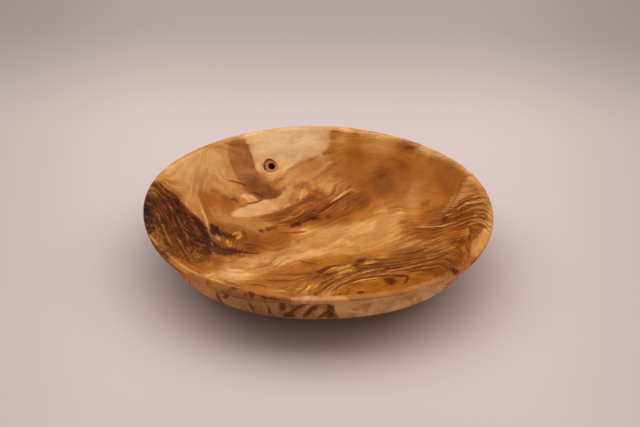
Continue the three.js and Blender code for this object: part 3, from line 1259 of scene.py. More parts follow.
    Stain("dark_heart", Colour.HEART, 3.0, 4.0, 0.97, side=Side.THROUGH, patches=(
        ((-138, 33), (-130, 32), (-122, 31.5), (-115, 30.5), (-109, 31.5), (-104, 30), (-100, 26.5),
         (-95, 23.5), (-90, 21.5), (-85.5, 18), (-83, 11.5), (-80.5, 5), (-77, -1), (-75, -12), (-76, -22),
         (-80, -28), (-88, -26), (-97, -24), (-106, -26), (-116, -32), (-126, -40), (-136, -46),
         (-150, -20), (-150, 24)),
    )),
    Stain("heart_fibres", Colour.CARAMEL, 2.4, 6.0, 0.42, patches=(
        ((-132, -30), (-126, -32), (-118, -29), (-112, -27), (-114, -31), (-122, -34), (-131, -36)),
        ((-138, 30), (-127, 26), (-121, 18), (-128, 12), (-138, 14)),
        ((-131, -47), (-124, -44), (-118, -46), (-112, -60), (-118, -62), (-126, -54)),
    ), strokes=(
        Stroke(1.8, ((-131, 12), (-122, 5.5), (-113.5, -2.5), (-104.5, -12), (-98.5, -24.5), (-96, -36))),
        Stroke(1.6, ((-128, 23), (-115.5, 16), (-106.5, 9.5), (-98.5, -2), (-92.5, -18), (-90, -32))),
        Stroke(1.8, ((-128, -2), (-118.5, -16.5), (-111.5, -36), (-105.5, -53))),
        Stroke(1.4, ((-133, 30), (-124, 27), (-114, 25))),
        Stroke(1.4, ((-134, 19), (-126, 16), (-118, 10))),
        Stroke(1.4, ((-99, 17), (-95, 16), (-91, 15))),
        Stroke(1.6, ((-88, -14), (-86, -26), (-86, -38))),
    )),
    Stain("black_heart", Colour.BLACK_HEART, 4.0, 5.0, 0.9, patches=(
        ((-97, 22), (-91, 20), (-86.5, 17.5), (-83, 11.5), (-80, 5), (-76.5, -1.5), (-75, -12),
         (-77, -22.5), (-80, -18.5), (-83, -5.5), (-86, 4.5), (-89, 10.5), (-94, 17)),
        ((-138, -2), (-129, -5), (-127, -24), (-137, -30)),
        ((-118, -10), (-114, -8), (-113.5, -12), (-117.5, -16)),
        ((-127.5, -34.5), (-123.5, -34), (-122, -40.5), (-126, -43)),
        ((-111, 25), (-105, 27.5), (-103, 23), (-107.5, 20)),
        ((-79.5, 18.5), (-75.5, 19), (-72.5, 15.5), (-72, 6), (-74.5, 3.5), (-77.5, 9)),
    ), strokes=(
        Stroke(3.5, ((-109, 12), (-106, 5), (-102, -3), (-99, -10), (-95, -20))),
        Stroke(1.6, ((-130, 20), (-120, 14), (-112, 8), (-106, 0))),
        Stroke(1.6, ((-132, 27), (-122, 23), (-113, 19), (-105, 13), (-99, 4))),
        Stroke(1.4, ((-126, 4), (-118, -2), (-110, -10), (-105, -20), (-102, -32))),
        Stroke(1.4, ((-104, 22), (-98, 15), (-92, 2), (-88, -12), (-86, -26))),
        Stroke(1.6, ((-134, 6), (-128, 2), (-124, -6))),
        Stroke(1.6, ((-134, 14), (-127, 10), (-120, 5))),
        Stroke(1.8, ((-123, -18), (-117, -30), (-112, -44), (-107, -58))),
        Stroke(1.6, ((-101, -26), (-97, -38), (-92, -50))),
        Stroke(1.8, ((-128, -48), (-122, -58), (-115, -69), (-108, -79), (-101, -87))),
    )),
    Stain("dark_arm", Colour.BLACK_HEART, 3.4, 4.2, 0.85, patches=(
        ((-80, 17), (-75, 18.5), (-71, 12), (-66, 12), (-60, 10.5), (-60, 6), (-65, 6), (-70, 7.5),
         (-73, 4), (-77, 6)),
        ((-78, -2), (-73, -4), (-66, -8), (-56, -6.5), (-51, -9), (-57, -14), (-66, -19), (-76, -22)),
    )),
    Stain("tan_patch", Colour.TAN_BROWN, 1.5, 1.6, 0.95, patches=(
        ((-74, 104), (-72, 108), (-66, 110), (-59.5, 110), (-58, 105), (-55, 101), (-52, 97), (-50, 90),
         (-47, 86), (-42, 82), (-38, 77), (-33, 74), (-28, 70), (-28, 65), (-32, 62), (-40, 61), (-50, 63),
         (-54, 66), (-57, 71), (-63, 78), (-67, 83), (-71, 90), (-74, 95)),
    )),
    Stain("smoky_patch", Colour.SMOKE, 9.0, 4.0, 0.95, patches=(
        ((-58, 80), (-50, 84), (-43, 80), (-36, 76), (-28, 72), (-18, 66), (-26, 62), (-34, 61), (-44, 62),
         (-52, 66), (-57, 74)),
    )),
    Stain("pale_leaf", Colour.LEAF, 2.4, 1.8, 0.95, patches=(
        ((-64.5, 38), (-61, 43.5), (-55.5, 49), (-48.5, 55), (-42.5, 60), (-36.5, 60.5), (-31, 57),
         (-27, 53), (-31, 49), (-38, 45), (-45, 41), (-52, 37), (-59.5, 35), (-64, 35)),
    ), strokes=(
        Stroke(3.0, ((-58, 59.5), (-54.5, 62), (-50, 61), (-47, 57))),
    )),
    Stain("leaf_tip", Colour.HONEY, 3.0, 3.5, 0.75, patches=(
        ((-38, 60), (-31, 62), (-26, 68), (-26, 76), (-14, 78), (-7, 74), (-11, 67), (-18, 60), (-24, 56),
         (-28, 52), (-32, 55)),
        ((-53, 60), (-50, 59), (-46, 58), (-48, 55.5), (-52, 56)),
    )),
    Stain("yellow_spots", Colour.YELLOW, 2.5, 3.5, 0.85, patches=(
        ((-60, 14.5), (-57, 16.5), (-55, 12), (-55.5, 7), (-59, 7)),
        ((-75, 5), (-72, 7), (-69.5, 3), (-70, -1), (-73, 0)),
        ((-67, 1), (-63.5, 1), (-61.5, -4), (-65.5, -5)),
        ((13, -26), (18, -21), (23, -18.5), (27, -19.5), (28, -25), (24, -29), (18, -30)),
        ((33.5, -17.5), (37.5, -15.5), (42, -16), (42, -18), (36, -21)),
        ((108, -4), (114, -12), (114, -23), (108, -19), (105, -10)),
    ), strokes=(
        Stroke(2.6, ((16, -60), (21, -53), (28, -47), (36, -43.5), (44, -42))),
        Stroke(3.4, ((-30, -66), (-18, -60), (-7, -56), (2, -50), (7, -43), (13, -36), (19, -29))),
    )),
    Stain("ink_blots", Colour.INK, 3.0, 3.4, 0.9, patches=(
        ((-1, -32), (2, -28), (5, -25), (8, -24), (9, -26), (6, -30), (3, -33)),
        ((4.5, -35), (7, -32), (13, -28.5), (15, -30), (11, -34.5), (7, -37)),
        ((25, -22), (26.5, -19), (28.5, -18), (30, -21), (28.5, -25), (26, -24)),
        ((28, -16), (29.5, -11.5), (33, -11), (34.5, -14), (32.5, -17.5), (29.5, -18)),
        ((53, -40.5), (62, -42), (63, -47), (57, -46)),
        ((46.5, -44), (54, -45), (55.5, -50), (54.5, -57), (52, -60.5), (49.5, -55), (47.5, -50)),
        ((28.5, -65), (31, -65), (31.5, -69), (29, -69)),
        ((-79.5, -106), (-75.5, -107.5), (-74, -111), (-78, -110.5)),
        ((-61.5, -115.5), (-58.5, -116), (-57.5, -120), (-60.5, -120)),
        ((-50, -121.5), (-44.5, -123), (-40, -125.5), (-41, -129), (-46, -127.5), (-50, -125)),
        ((-34, -128), (-29.5, -129.5), (-27, -132), (-29.5, -133.5), (-33.5, -131)),
        ((48.5, -28), (51, -28), (51, -31), (48.5, -31)),
        ((-22, 34), (-20, 29), (-14, 32), (-8, 37), (0, 41), (1, 45), (-3, 47), (-8, 43), (-14, 39)),
        ((6, 46), (8, 46), (8.5, 43.5), (6.5, 43.5)),
        ((44, 88), (47, 88.5), (51, 88.5), (50.5, 85), (47, 84)),
        ((67, 104), (72, 101), (77, 101.5), (76, 104), (71, 104.5)),
        ((93, 24), (96, 25), (97, 20), (94, 17), (92, 19)),
        ((101, -16), (107, -15), (108, -19), (102, -21)),
        ((95.5, -75), (101, -82), (104, -86), (101, -92), (96, -92)),
        ((112, -66), (117, -68), (118, -76), (113, -79)),
        ((-38, 26), (-34, 27), (-29, 29), (-34, 24), (-37, 22)),
        ((-43, 23), (-41, 24), (-40, 21), (-42, 20.5)),
    )),
    Stain("ink_lines", Colour.INK, 1.4, 1.0, 0.85, strokes=(
        Stroke(2.6, ((-70, -13), (-62, -10), (-56, -10.5), (-51, -9.5), (-46, -10), (-41, -8))),
        Stroke(3.2, ((10, -64), (14, -55), (18, -50), (23, -46), (29, -42), (36, -40.5), (44, -40),
                     (56, -41), (64, -44))),
        Stroke(3.0, ((60, -45), (63.5, -46), (64, -49), (63, -53), (61, -60))),
        Stroke(2.4, ((38, -38), (44, -33), (53, -29.5), (62, -29), (73, -27.5), (83, -28), (93, -27),
                     (102, -25), (109, -24))),
        Stroke(1.6, ((-1, -30), (4, -26), (9, -22), (15, -20.5), (22, -20))),
        Stroke(1.6, ((-47, -125), (-40, -128), (-33, -131), (-26, -133))),
        Stroke(1.8, ((-71, 73), (-62, 73.5), (-56, 72.5), (-51, 72))),
        Stroke(2.0, ((-53, 67), (-47, 66), (-40, 63))),
        Stroke(1.6, ((-41, 61), (-45, 57.5), (-48.5, 55), (-54, 52.5))),
        Stroke(2.2, ((-2, 46), (4, 53), (10, 60), (17, 66), (28, 73))),
        Stroke(0.9, ((-44.5, 97), (-44.5, 95), (-43.5, 92))),
    )),
    Stain("brown_spots", Colour.UMBER, 4.0, 3.0, 0.5, patches=(
        ((55.5, 101), (58.5, 101), (58.5, 98), (55.5, 98)),
        ((62, 109), (70, 99), (80, 98), (84, 104), (80, 112), (70, 110)),
        ((42, 91), (48, 92), (54, 90), (53, 83), (46, 81), (41, 85)),
        ((38, 83), (41, 82), (40, 79), (38, 80)),
        ((10, 125), (14, 124.5), (13, 121), (9, 121)),
        ((60, 34), (66, 34), (67, 31), (61, 30)),
        ((76, 50), (84, 50), (83, 44), (77, 44)),
        ((87, 33), (92, 32), (93, 26), (88, 27)),
        ((103, 44), (106, 44), (106, 41), (103, 41)),
    ), strokes=(
        Stroke(3.6, ((124, 54), (117, 54), (112, 48), (109, 41), (103, 36), (99, 30))),
        Stroke(3.0, ((112, 56), (105, 50), (99, 41), (92, 34), (86, 30))),
    )),
    Stain("brown_lines", Colour.SMOKE, 1.4, 1.1, 0.85, side=Side.THROUGH, strokes=(
        Stroke(6.0, ((40, -14), (50, -17.5), (60, -18.5), (70, -19.5), (79, -22.5))),
        Stroke(2.4, ((-30, -37.5), (-20, -36), (-12, -36), (-3, -32))),
        Stroke(2.4, ((-38, -47), (-27, -48), (-20, -45.5), (-12, -43))),
        Stroke(4.0, ((-46, -60), (-40, -57.5), (-34, -60))),
        Stroke(2.0, ((-14, -13.5), (-7, -18), (0, -19))),
        Stroke(1.8, ((2, -49), (8, -43), (12, -39), (17, -34), (24, -30))),
        Stroke(1.8, ((4, -62), (6, -55), (9, -49), (14, -43))),
        Stroke(1.8, ((28, -30), (32, -26), (38, -21))),
        Stroke(2.6, ((22, -44), (28, -39), (36, -34.5), (44, -30))),
        Stroke(2.8, ((92, 27), (97.5, 28.5), (104, 28.5), (113, 27), (119, 24), (125, 19.5), (134, 16))),
        Stroke(1.6, ((103, 32), (112, 31), (120, 28), (128, 24))),
        Stroke(2.0, ((103, 23), (112, 21.5), (119.5, 18), (126, 12), (133, 4))),
        Stroke(2.4, ((88, 17), (97, 18), (103.5, 17.5), (113, 13), (120.5, 8.5), (127, 1), (133, -8))),
        Stroke(2.2, ((94, 11.5), (103, 10), (112, 4.5), (121, -3), (127.5, -12.5), (133, -21))),
        Stroke(2.2, ((98, 6), (108, 3), (115.5, -2.5), (122.5, -9.5), (127.5, -20), (132, -28))),
        Stroke(1.8, ((112, -6), (117, -9), (122, -16), (127, -26), (130, -34))),
        Stroke(2.4, ((113, -4), (115.5, -14), (115, -22), (112, -26.5), (104, -24), (96, -26))),
        Stroke(2.0, ((114, -32), (112, -48), (112, -66), (108, -76))),
        Stroke(3.2, ((69, 22), (78, 17.5), (87, 13.5), (96.5, 12), (104.5, 8))),
        Stroke(1.4, ((60, 5), (70, 9), (80, 11), (92, 8))),
        Stroke(1.4, ((62, -4), (73, 1), (82, 4), (92, 4.5), (102, 4))),
        Stroke(1.4, ((66, -12), (78, -7), (90, -4), (102, -4))),
        Stroke(1.4, ((74, -18), (86, -13), (98, -12), (108, -14))),
        Stroke(2.4, ((89, -40), (92, -52), (94, -66))),
        Stroke(2.4, ((95, -38), (98, -52), (100, -66), (101, -80))),
        Stroke(2.0, ((101, -34), (104, -48), (106, -62))),
        Stroke(2.0, ((110, -36), (111, -50), (112, -64))),
        Stroke(6.0, ((78, -44.5), (83, -45), (88, -43))),
        Stroke(3.0, ((-66, 53), (-63, 56), (-60, 52))),
        Stroke(2.4, ((-26, 50), (-18, 57), (-8, 63), (2, 66))),
        Stroke(2.4, ((20, 52), (22, 57), (24, 62))),
        Stroke(2.2, ((-30, 22), (-20, 22.5), (-8, 25.5))),
        Stroke(3.5, ((-55, 19), (-53, 14), (-52, 8))),
        Stroke(2.0, ((-126, -50), (-120, -62.5), (-113, -75), (-106.5, -84.5), (-99.5, -92.5), (-93, -99))),
    )),
    Stain("pale_lines", Colour.STRAW, 1.2, 0.9, 0.55, strokes=(
        Stroke(2.0, ((64, 25), (75.5, 21.5), (84.5, 18.5), (92, 15), (100.5, 14), (113.5, 7), (123, -1),
                     (132, -15))),
        Stroke(1.4, ((94, 25), (104, 25.5), (113, 24), (120, 20), (128, 13))),
        Stroke(1.4, ((100, 20), (108, 18.5), (115, 14.5), (122, 9), (129, 0))),
        Stroke(1.4, ((100, 8), (110, 4), (118, -3), (124, -11), (129, -21))),
        Stroke(1.2, ((110, -1), (117, -6), (123, -13), (128, -23))),
        Stroke(1.0, ((59.5, 1), (68.5, 5.5), (78, 9), (85.5, 9.5))),
        Stroke(1.0, ((62.5, -8), (73, -3), (82, 0), (92.5, 1), (102, 0.5))),
        Stroke(1.0, ((68, -15.5), (80, -10.5), (90.5, -7.5), (101.5, -8))),
        Stroke(1.2, ((4, -52), (9, -45.5), (14, -40), (20, -35))),
        Stroke(1.2, ((24, -38), (30, -33.5), (38, -30), (46, -27))),
        Stroke(1.4, ((30, -43), (38, -36), (48, -33), (60, -33))),
        Stroke(1.2, ((7, -29), (10, -26), (14, -23.5))),
        Stroke(1.0, ((-28, 36), (-24, 40), (-19, 44.5))),
        Stroke(1.0, ((8, 60), (16, 69), (24, 75), (29, 76))),
        Stroke(2.0, ((-90, 42), (-86, 33), (-83.5, 25), (-81.5, 17), (-80, 9))),
        Stroke(1.2, ((-99, 16.5), (-95, 16), (-91, 15))),
        Stroke(2.6, ((-129, -40), (-124, -51), (-117, -62), (-109.5, -73), (-103, -82), (-94.5, -90),
                     (-86, -96.5), (-77, -103), (-67, -109.5), (-58, -114.5))),
    )),
)

OUTSIDE_STAINS = (
    Stain("outer_warm", Colour.WARM_TAN, 7.0, 4.0, 0.9, side=Side.OUTSIDE, patches=(
        ((-138, -46), (-120, -74), (-98, -98), (-84, -110), (-74, -114), (-71, -100), (-65, -90),
         (-80, -78), (-96, -52), (-106, -40)),
        ((96, -100), (112, -84), (128, -56), (137, -20), (112, -10), (100, -44), (86, -72)),
    )),
    Stain("outer_pale", Colour.PALE_TAN, 1.2, 1.0, 0.95, side=Side.OUTSIDE, patches=(
        ((12.5, -150), (12.5, -136.5), (13, -126.5), (14.5, -114.5), (17.5, -101), (48.5, -88), (80, -66),
         (94, -78), (98, -98), (84, -112), (66, -124), (44, -154)),
    )),
    Stain("outer_dark", Colour.HEART, 2.0, 1.8, 0.85, side=Side.OUTSIDE, patches=(
        ((-68, -120), (-64.5, -120), (-63.5, -106), (-66.5, -101.5)),
        ((-29, -130), (-23, -133), (-21, -119), (-26.5, -117)),
        ((-24, -117), (-15.5, -119.5), (-13.5, -112), (-22, -109)),
        ((7, -133), (12, -132), (13, -112), (8, -109.5)),
    ), strokes=(
        Stroke(2.6, ((-75, -113), (-70.5, -100), (-66, -95), (-60, -86))),
        Stroke(2.4, ((-54, -128), (-48, -115), (-41, -105), (-33, -95))),
        Stroke(2.2, ((-39, -132), (-35, -119.5), (-29.5, -107.5), (-23, -96))),
        Stroke(2.0, ((-12, -134), (0, -133), (11, -133))),
        Stroke(4.5, ((-21, -113), (-14.5, -123), (-8, -134))),
        Stroke(4.5, ((-10, -113), (-4, -123.5), (3, -134))),
        Stroke(2.4, ((0, -112), (5, -118), (9, -124))),
    )),
    Stain("outer_fibres", Colour.WARM_TAN, 1.6, 2.0, 0.6, side=Side.OUTSIDE, patches=(
        ((33, -126), (37, -125), (38, -119), (34, -119)),
    ), strokes=(
        Stroke(2.0, ((-42, -131), (-36, -116.5), (-31, -107))),
        Stroke(1.8, ((-66, -99), (-61, -100), (-54, -99))),
        Stroke(1.8, ((-15, -112), (-8, -123), (-2, -133))),
        Stroke(1.8, ((-3, -114), (2.5, -121.5), (8, -129))),
    )),
    Stain("outer_mottle", Colour.CARAMEL, 5.0, 6.0, 0.5, side=Side.OUTSIDE, patches=(
        ((30, -128), (40, -128), (42, -118), (32, -116)),
        ((44, -126), (50, -124), (50, -110), (44, -112)),
        ((62, -120), (74, -116), (72, -100), (60, -106)),
        ((18, -112), (30, -114), (30, -104), (20, -104)),
    )),
)

TEMPERS = (
    Temper(0.5, 9.0, 0.0, patches=(
        ((66, 10), (76, 26), (96, 34), (122, 28), (142, 12), (142, -34), (124, -62), (112, -98), (90, -94),
         (82, -56), (70, -30), (62, -10)),
        ((-36, 34), (-28, 48), (-12, 64), (2, 82), (14, 84), (32, 76), (22, 62), (6, 42), (-16, 26)),
    )),
    Temper(1.2, 9.0, 0.0, patches=(
        ((-24, -76), (-14, -46), (4, -30), (24, -16), (44, -14), (66, -16), (84, -24), (84, -40), (60, -44),
         (40, -46), (24, -58), (14, -78)),
    )),
    Temper(0.55, 6.0, 0.34, patches=(
        ((-142, 30), (-104, 32), (-82, 14), (-76, -14), (-80, -40), (-90, -80), (-124, -90), (-142, -20)),
    )),
    Temper(0.5, 3.0, 0.14, patches=(
        ((-84, 22), (-70, 18), (-56, 14), (-46, 0), (-44, -12), (-54, -20), (-74, -28), (-86, -14)),
    )),
    Temper(-1.2, 5.0, 0.0, patches=(
        ((-142, -50), (-121, -50), (-108, -74), (-92, -92), (-76, -102), (-60, -112), (-20, -128),
         (-20, -146), (-70, -134), (-106, -104), (-130, -70)),
        ((114, -30), (124, -34), (136, -34), (130, -56), (120, -84), (108, -84), (111, -60), (112, -44)),
    )),
    Temper(-0.35, 6.0, 0.0, patches=(
        ((-80, 38), (-62, 34), (-40, 34), (-28, 24), (-40, 12), (-62, 10), (-78, 18)),
        ((-78, -12), (-70, 4), (-52, 6), (-42, -4), (-46, -14), (-58, -22), (-74, -26)),
        ((0, -142), (0, -128), (40, -124), (80, -104), (108, -76), (124, -84), (90, -118), (44, -142)),
    )),
    Temper(-0.26, 8.0, 0.0, patches=(
        ((-136, 42), (-112, 40), (-96, 36), (-88, 22), (-82, 20), (-84, 44), (-80, 64), (-62, 66),
         (-58, 78), (-70, 104), (-94, 116), (-124, 84)),
        ((20, 124), (70, 108), (106, 76), (112, 48), (88, 30), (60, 60), (30, 70), (20, 100)),
    )),
    Temper(-0.26, 6.0, 0.0, patches=(
        ((-64, 140), (-60, 104), (-46, 84), (-20, 84), (10, 100), (14, 140)),
        ((-68, 36), (-58, 50), (-40, 60), (-24, 52), (-46, 36)),
        ((-24, 2), (10, 34), (40, 48), (60, 40), (50, 10), (20, -4), (-6, -6)),
    )),
)


# Finishes

@dataclass(frozen=True)
class Skin:
    """The plate's skin laid flat: the inside with the lip, and the outside folded back under it."""

    outline: PlateOutline

    def laid_flat(self, points: np.ndarray) -> np.ndarray:
        """Lays points of the plate's skin flat.

        Args:
            points: The points, in metres.

        Returns:
            Millimetres right, far, and from the lip's outer edge, which is less than 0 outside.
        """
        blank = self.outline.unseasoned(points) / MM
        section = np.column_stack([np.hypot(blank[:, 0], blank[:, 1]), blank[:, 2]])
        lip = self.outline.lip_outer()
        inside = np.array(self.outline.inside() + lip[::-1])
        outside = np.array(self.outline.outside()[:1 - len(lip)])
        inner_gap, inner_share = nearest(section, inside)
        outer_gap, outer_share = nearest(section, outside)
        is_inside = inner_gap <= outer_gap
        inner_length = np.linalg.norm(np.diff(inside, axis=0), axis=1).sum()
        outer_length = np.linalg.norm(np.diff(outside, axis=0), axis=1).sum()
        share = np.where(is_inside, inner_share, outer_share)
        down = (1 - share) * np.where(is_inside, inner_length, -outer_length)
        ways = blank[:, :2] / np.maximum(section[:, :1], ON_AXIS)
        return np.column_stack([ways * (share * inner_length)[:, None], down])


def paint_number(mesh: bpy.types.Mesh, name: str, values: np.ndarray) -> None:
    """Writes one number for each vertex as an attribute."""
    mesh.attributes.new(name, "FLOAT", "POINT").data.foreach_set("value", values.astype(np.float32))


def paint_vector(mesh: bpy.types.Mesh, name: str, values: np.ndarray) -> None:
    """Writes one vector for each vertex as an attribute."""
    flat = values.astype(np.float32).ravel()
    mesh.attributes.new(name, "FLOAT_VECTOR", "POINT").data.foreach_set("vector", flat)


@dataclass(frozen=True)
class Cloud:
    """Noise in round cells: their size in millimetres, the level it is read at, and how fine it is."""

    size: float
    level: float
    detail: float
    roughness: float

    def over(self, shader: Shader, right: Field, far: Field) -> Field:
        """The noise at each place of the skin."""
        place = shader.join(right / self.size, far / self.size, self.level)
        return shader.noise(place, self.detail, self.roughness)


@dataclass(frozen=True)
class Grain:
    """Noise drawn out along the grain: its cells' width and length in millimetres, and how fine it is."""

    width: float
    length: float
    detail: float
    roughness: float

    def over(self, shader: Shader, across: Field, right: Field, far: Field) -> Field:
        """The noise at each place of the skin, which lies this far across the grain."""
        place = shader.join(across / self.width, right / self.length, far / self.length)
        return shader.noise(place, self.detail, self.roughness)


@dataclass(frozen=True)
class FiguredWood:
    """Oiled fruitwood with a wild figure: dark heart, pale sapwood, and growth lines that swirl between.

    Its tone is worked out in doublings of brightness.
    """

    stains: tuple[Stain, ...] = STAINS + OUTSIDE_STAINS
    growth_lines: tuple[Growth, ...] = GROWTH_LINES
    tempers: tuple[Temper, ...] = TEMPERS
    ground: Colour = Colour.CARAMEL
    plain_life: float = 0.42
    least_life: float = 0.08
    lip_fade: float = 0.8
    clouds: Cloud = Cloud(9.0, 0.0, 5.0, 0.65)
    mottle: Cloud = Cloud(17.0, 5.0, 5.0, 0.6)
    swirls: Cloud = Cloud(26.0, 3.0, 1.0, 0.5)
    bands: Grain = Grain(6.0, 48.0, 2.0, 0.6)
    streaks: Grain = Grain(2.4, 26.0, 4.0, 0.7)
    fibres: Grain = Grain(0.9, 9.0, 2.0, 0.6)
    dashes: Grain = Grain(1.8, 5.0, 3.0, 0.6)
    bend_by_swirls: float = 8.0
    bend_by_clouds: float = 1.5
    wild_bend_by_mottle: float = 26.0
    wild_bend_by_clouds: float = 8.0
    fray_by_streaks: float = 1.3
    fray_by_clouds: float = 0.8
    ring_pitch: float = 3.3
    ring_waver: float = 2.0
    ring_edges: tuple[float, float] = (0.35, 0.95)
    ring_darkness: float = 0.6
    vein_width: float = 0.035
    vein_darkness: float = 0.4
    streak_tone: float = 4.5
    band_tone: float = 3.0
    fibre_tone: float = 2.0
    grain_lift: float = 0.22
    wild_dash_tone: float = 26.0
    wild_cloud_tone: float = 10.0
    cloud_tone: float = 0.9
    mottle_tone: float = 2.4
    calm_to_lively: tuple[float, float] = (0.05, 0.5)
    calm_mottle: float = 0.3
    highlight_loss: float = 0.4
    last_lift: float = 0.04
    green_depth: float = 1.35
    blue_depth: float = 1.9
    roughness: float = 0.34
    roughness_by_streaks: float = 0.2
    relief_strength: float = 0.25
    relief_reach: float = 0.05
    shine: float = 0.06

    def mark(self, piece: bpy.types.Object, skin: Skin) -> None:
        """Writes the skin's places, the growth and every stain's depth on a piece's vertices.

        Args:
            piece: The finished piece.
            skin: How its skin is laid flat.
        """
        flat = skin.laid_flat(points_of(piece.data))
        places, down = flat[:, :2], flat[:, 2]
        paint_vector(piece.data, "skin", flat)
        paint_number(piece.data, "across", growth_across(places, self.growth_lines))
        life, swirl = np.full(len(places), self.plain_life), np.zeros(len(places))
        for temper in self.tempers:
            depth = np.max([depth_in_patch(places, patch) for patch in temper.patches], axis=0)
            share = np.clip(0.5 + depth / temper.soft / 2, 0, 1)
            life += share * temper.liveliness
            swirl += share * temper.swirl
        paint_number(piece.data, "life", np.maximum(life, self.least_life))
        paint_number(piece.data, "swirl", swirl)
        for stain in self.stains:
            depth = deepest(places, stain)
            if stain.side is Side.INSIDE:
                depth = depth + np.minimum(down, 0) * self.lip_fade
            elif stain.side is Side.OUTSIDE:
                depth = np.minimum(depth, -down)
            paint_number(piece.data, stain.name, depth)

    def stained(self, shader: Shader, fray: Field) -> Any:
        """Lays all stains over the ground colour in their order.

        Args:
            shader: The wood's shader.
            fray: What frays the stains' edges along the grain.

        Returns:
            The stained colour.
        """
        colour = self.ground.value
        for stain in self.stains:
            edge = shader.painted(stain.name) + fray * (2 * stain.fray)
            shown = edge.step(-stain.soft / 2, stain.soft / 2) * stain.strength
            colour = shader.blend(shown, colour, stain.colour.value)
        return colour

    def material(self) -> bpy.types.Material:
        """Builds the material.

        Returns:
            The material, which reads what mark wrote on the vertices.
        """
        shader = Shader("figured_wood")
        right, far, _ = shader.split(shader.attribute("skin").outputs["Vector"])
        life, wild = shader.painted("life"), shader.painted("swirl")
        cloud, mottle, swirl = (
            noise.over(shader, right, far) for noise in (self.clouds, self.mottle, self.swirls)
        )
        waved = shader.painted("across") + swirl * self.bend_by_swirls + cloud * self.bend_by_clouds
        waved = waved + wild * (mottle * self.wild_bend_by_mottle + cloud * self.wild_bend_by_clouds)
        bands, streaks, fibres, dashes = (
            grain.over(shader, waved, right, far)
            for grain in (self.bands, self.streaks, self.fibres, self.dashes)
        )
        colour = self.stained(shader, streaks * self.fray_by_streaks + bands + cloud * self.fray_by_clouds)

        turns = waved / self.ring_pitch + bands * self.ring_waver
        ring = turns.maths("FRACT", turns).step(*self.ring_edges, False)
        vein = abs(streaks).step(self.vein_width, 0.0)
        tone = streaks * self.streak_tone + bands * self.band_tone + fibres * self.fibre_tone
        tone = tone - ring * self.ring_darkness - vein * self.vein_darkness + self.grain_lift
        tone = tone + (dashes * self.wild_dash_tone + cloud * self.wild_cloud_tone) * wild
        lively = life.step(*self.calm_to_lively, False) * (1 - self.calm_mottle) + self.calm_mottle
        tone = tone * life + (cloud * self.cloud_tone + mottle * self.mottle_tone) * lively
        tone = tone - tone.most(0.0) * self.highlight_loss + self.last_lift
        gains = shader.join(2 ** tone, 2 ** (tone * self.green_depth), 2 ** (tone * self.blue_depth))
        colour = shader.vector("MULTIPLY", colour, gains)

        shader.plug(shader.surface.inputs["Base Color"], colour)
        rough = streaks * self.roughness_by_streaks + self.roughness
        shader.plug(shader.surface.inputs["Roughness"], rough)
        shader.relief(fibres + streaks, self.relief_strength, self.relief_reach)
        shader.surface.inputs["Specular IOR Level"].default_value = self.shine
        return shader.material


@dataclass(frozen=True)
class KnotWood:
    """The dry wood of a dead branch, ringed with dark bark and painted near-black in and round its pit."""

    seat: KnotSeat
    wood: tuple[float, float, float, float] = linear(188, 118, 70)
    bark: tuple[float, float, float, float] = linear(116, 50, 8)
    pit_black: tuple[float, float, float, float] = linear(24, 8, 4)
    edge: tuple[float, float, float, float] = linear(208, 132, 72)
    grain_size: float = 2.0
    grain_detail: float = 4.0
    grain_roughness: float = 0.65
    grain_tone: float = 1.2
    ring_pitch: float = 1.1
    ring_edges: tuple[float, float] = (0.3, 0.9)
    ring_tone: float = 0.35
    bark_insets: tuple[float, float] = (1.5, 0.6)
    bark_waver: float = 1.5
    bark_lean: float = 0.35
    bark_fray: float = 3.0
    bark_heights: tuple[float, float] = (-2.6, 0.6)
    pit_black_outsets: tuple[float, float] = (0.9, 0.1)
    pit_black_waver: float = 1.2
    roughness: float = 0.6
    relief_strength: float = 0.4
    relief_reach: float = 0.15
    relief_of_rings: float = 0.3
    shine: float = 0.06

    def mark(self, piece: bpy.types.Object) -> None:
        """Writes each vertex's place in the knot: round the plate, up the wall and out of the wood.

        Args:
            piece: The finished knot.
        """
        back = np.array(self.seat.frame().inverted())
        places = points_of(piece.data) @ back[:3, :3].T + back[:3, 3]
        paint_vector(piece.data, "knot_place", places / MM)

    def material(self) -> bpy.types.Material:
        """Builds the material.

        Returns:
            The material, which reads what mark wrote on the vertices.
        """
        shader = Shader("knot_wood")
        round_plate, up_wall, out = shader.split(shader.attribute("knot_place").outputs["Vector"])
        place = shader.join(*(way / self.grain_size for way in (round_plate, up_wall, out)))
        grain = shader.noise(place, self.grain_detail, self.grain_roughness)
        seat = self.seat
        from_middle = shader.vector("LENGTH", shader.join(round_plate, up_wall, 0.0))
        to_pit = shader.join(round_plate - seat.pit_shift, up_wall + seat.pit_drop, 0.0)
        from_pit = shader.vector("LENGTH", to_pit)
        edge = Field(shader, from_middle) + grain * self.bark_waver
        pit = Field(shader, from_pit) + grain * self.pit_black_waver
        turns = pit / self.ring_pitch
        ring = turns.maths("FRACT", turns).step(*self.ring_edges)
        colour = shader.blend(ring * self.ring_tone + grain * self.grain_tone, self.wood, self.bark)

        height = up_wall - round_plate * self.bark_lean + grain * self.bark_fray
        bark = shader.blend(height.step(*self.bark_heights), self.edge, self.bark)
        half = seat.width / 2
        at_edge = edge.step(*(half - inset for inset in self.bark_insets))
        colour = shader.blend(at_edge, colour, bark)
        # Near-black paint over the pit's hole and a thin ring round it
        hole = seat.pit_width / 2
        pit_blackened = pit.step(*(hole + outset for outset in self.pit_black_outsets))
        colour = shader.blend(pit_blackened, colour, self.pit_black)

        shader.plug(shader.surface.inputs["Base Color"], colour)
        shader.relief(grain - ring * self.relief_of_rings, self.relief_strength, self.relief_reach)
        shader.surface.inputs["Roughness"].default_value = self.roughness
        shader.surface.inputs["Specular IOR Level"].default_value = self.shine
        return shader.material


# Pieces

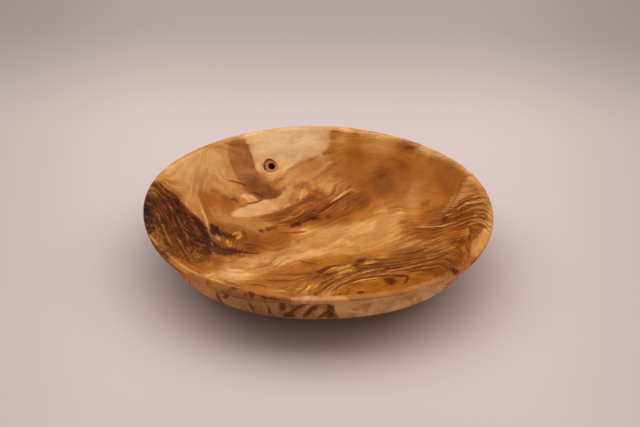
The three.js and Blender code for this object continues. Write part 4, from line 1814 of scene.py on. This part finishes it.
@dataclass
class TurnedPlate:
    """The plate itself, turned from one blank and cut out for the knot."""

    outline: PlateOutline
    seat: KnotSeat
    finish: FiguredWood
    turns: int = 360
    pieces: list[bpy.types.Object] = field(default_factory=list)

    def blank(self, name: str) -> bpy.types.Object:
        """Turns and seasons the blank, without the knot's socket.

        Args:
            name: What to call it.

        Returns:
            The blank.
        """
        whole = self.outline.outside() + self.outline.inside()[::-1][1:]
        made = spun(whole, self.turns)
        season(made, self.outline)
        return placed(made, name)

    def build(self) -> bpy.types.Object:
        """Turns the blank and sinks the knot's socket in it.

        Returns:
            The plate.
        """
        plate = self.blank("turned_plate")
        socket = self.seat.stub("socket", self.seat.gap, self.seat.depth, -self.seat.depth - self.seat.gap)
        carve(plate, socket, "DIFFERENCE")
        discard(socket)
        self.pieces.append(plate)
        return plate

    def dress(self) -> None:
        """Gives the plate its finish and its place in the frame."""
        for piece in self.pieces:
            self.finish.mark(piece, Skin(self.outline))
            coat(piece, self.finish.material())
            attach(piece, "root")
            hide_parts("plate")


@dataclass
class EncasedKnot:
    """The stub of a dead branch, flush with the wall round it, with a pit in its heart."""

    plate: TurnedPlate
    seat: KnotSeat
    finish: KnotWood
    pieces: list[bpy.types.Object] = field(default_factory=list)

    def build(self) -> bpy.types.Object:
        """Cuts the knot, with its face in the blank's own surface.

        Returns:
            The knot.
        """
        knot = self.seat.stub("encased_knot", 0.0, self.seat.depth, -self.seat.depth)
        blank = self.plate.blank("blank")
        pit = self.seat.pit("pit")
        carve(knot, blank, "INTERSECT")
        carve(knot, pit, "DIFFERENCE")
        discard(blank, pit)
        self.pieces.append(knot)
        return knot

    def dress(self) -> None:
        """Gives the knot its finish and its place in the frame."""
        for piece in self.pieces:
            self.finish.mark(piece)
            coat(piece, self.finish.material())
            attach(piece, "root")
            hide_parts("knot")


def report(thing: bpy.types.Object) -> None:
    """Logs one piece and its number of faces."""
    LOG.info("%s: %d faces", thing.name, len(thing.data.polygons))


def main() -> None:
    """Builds the studio and the pieces in order."""
    logging.basicConfig(level=logging.INFO, format="%(message)s")
    bpy.context.scene.view_settings.view_transform = "Standard"
    Viewpoint().build()
    Studio().build()

    outline = PlateOutline()
    seat = KnotSeat(outline)
    plate = TurnedPlate(outline, seat, FiguredWood())
    knot = EncasedKnot(plate, seat, KnotWood(seat))
    for part in (plate, knot):
        report(part.build())
        part.dress()


if __name__ == "__main__":
    main()
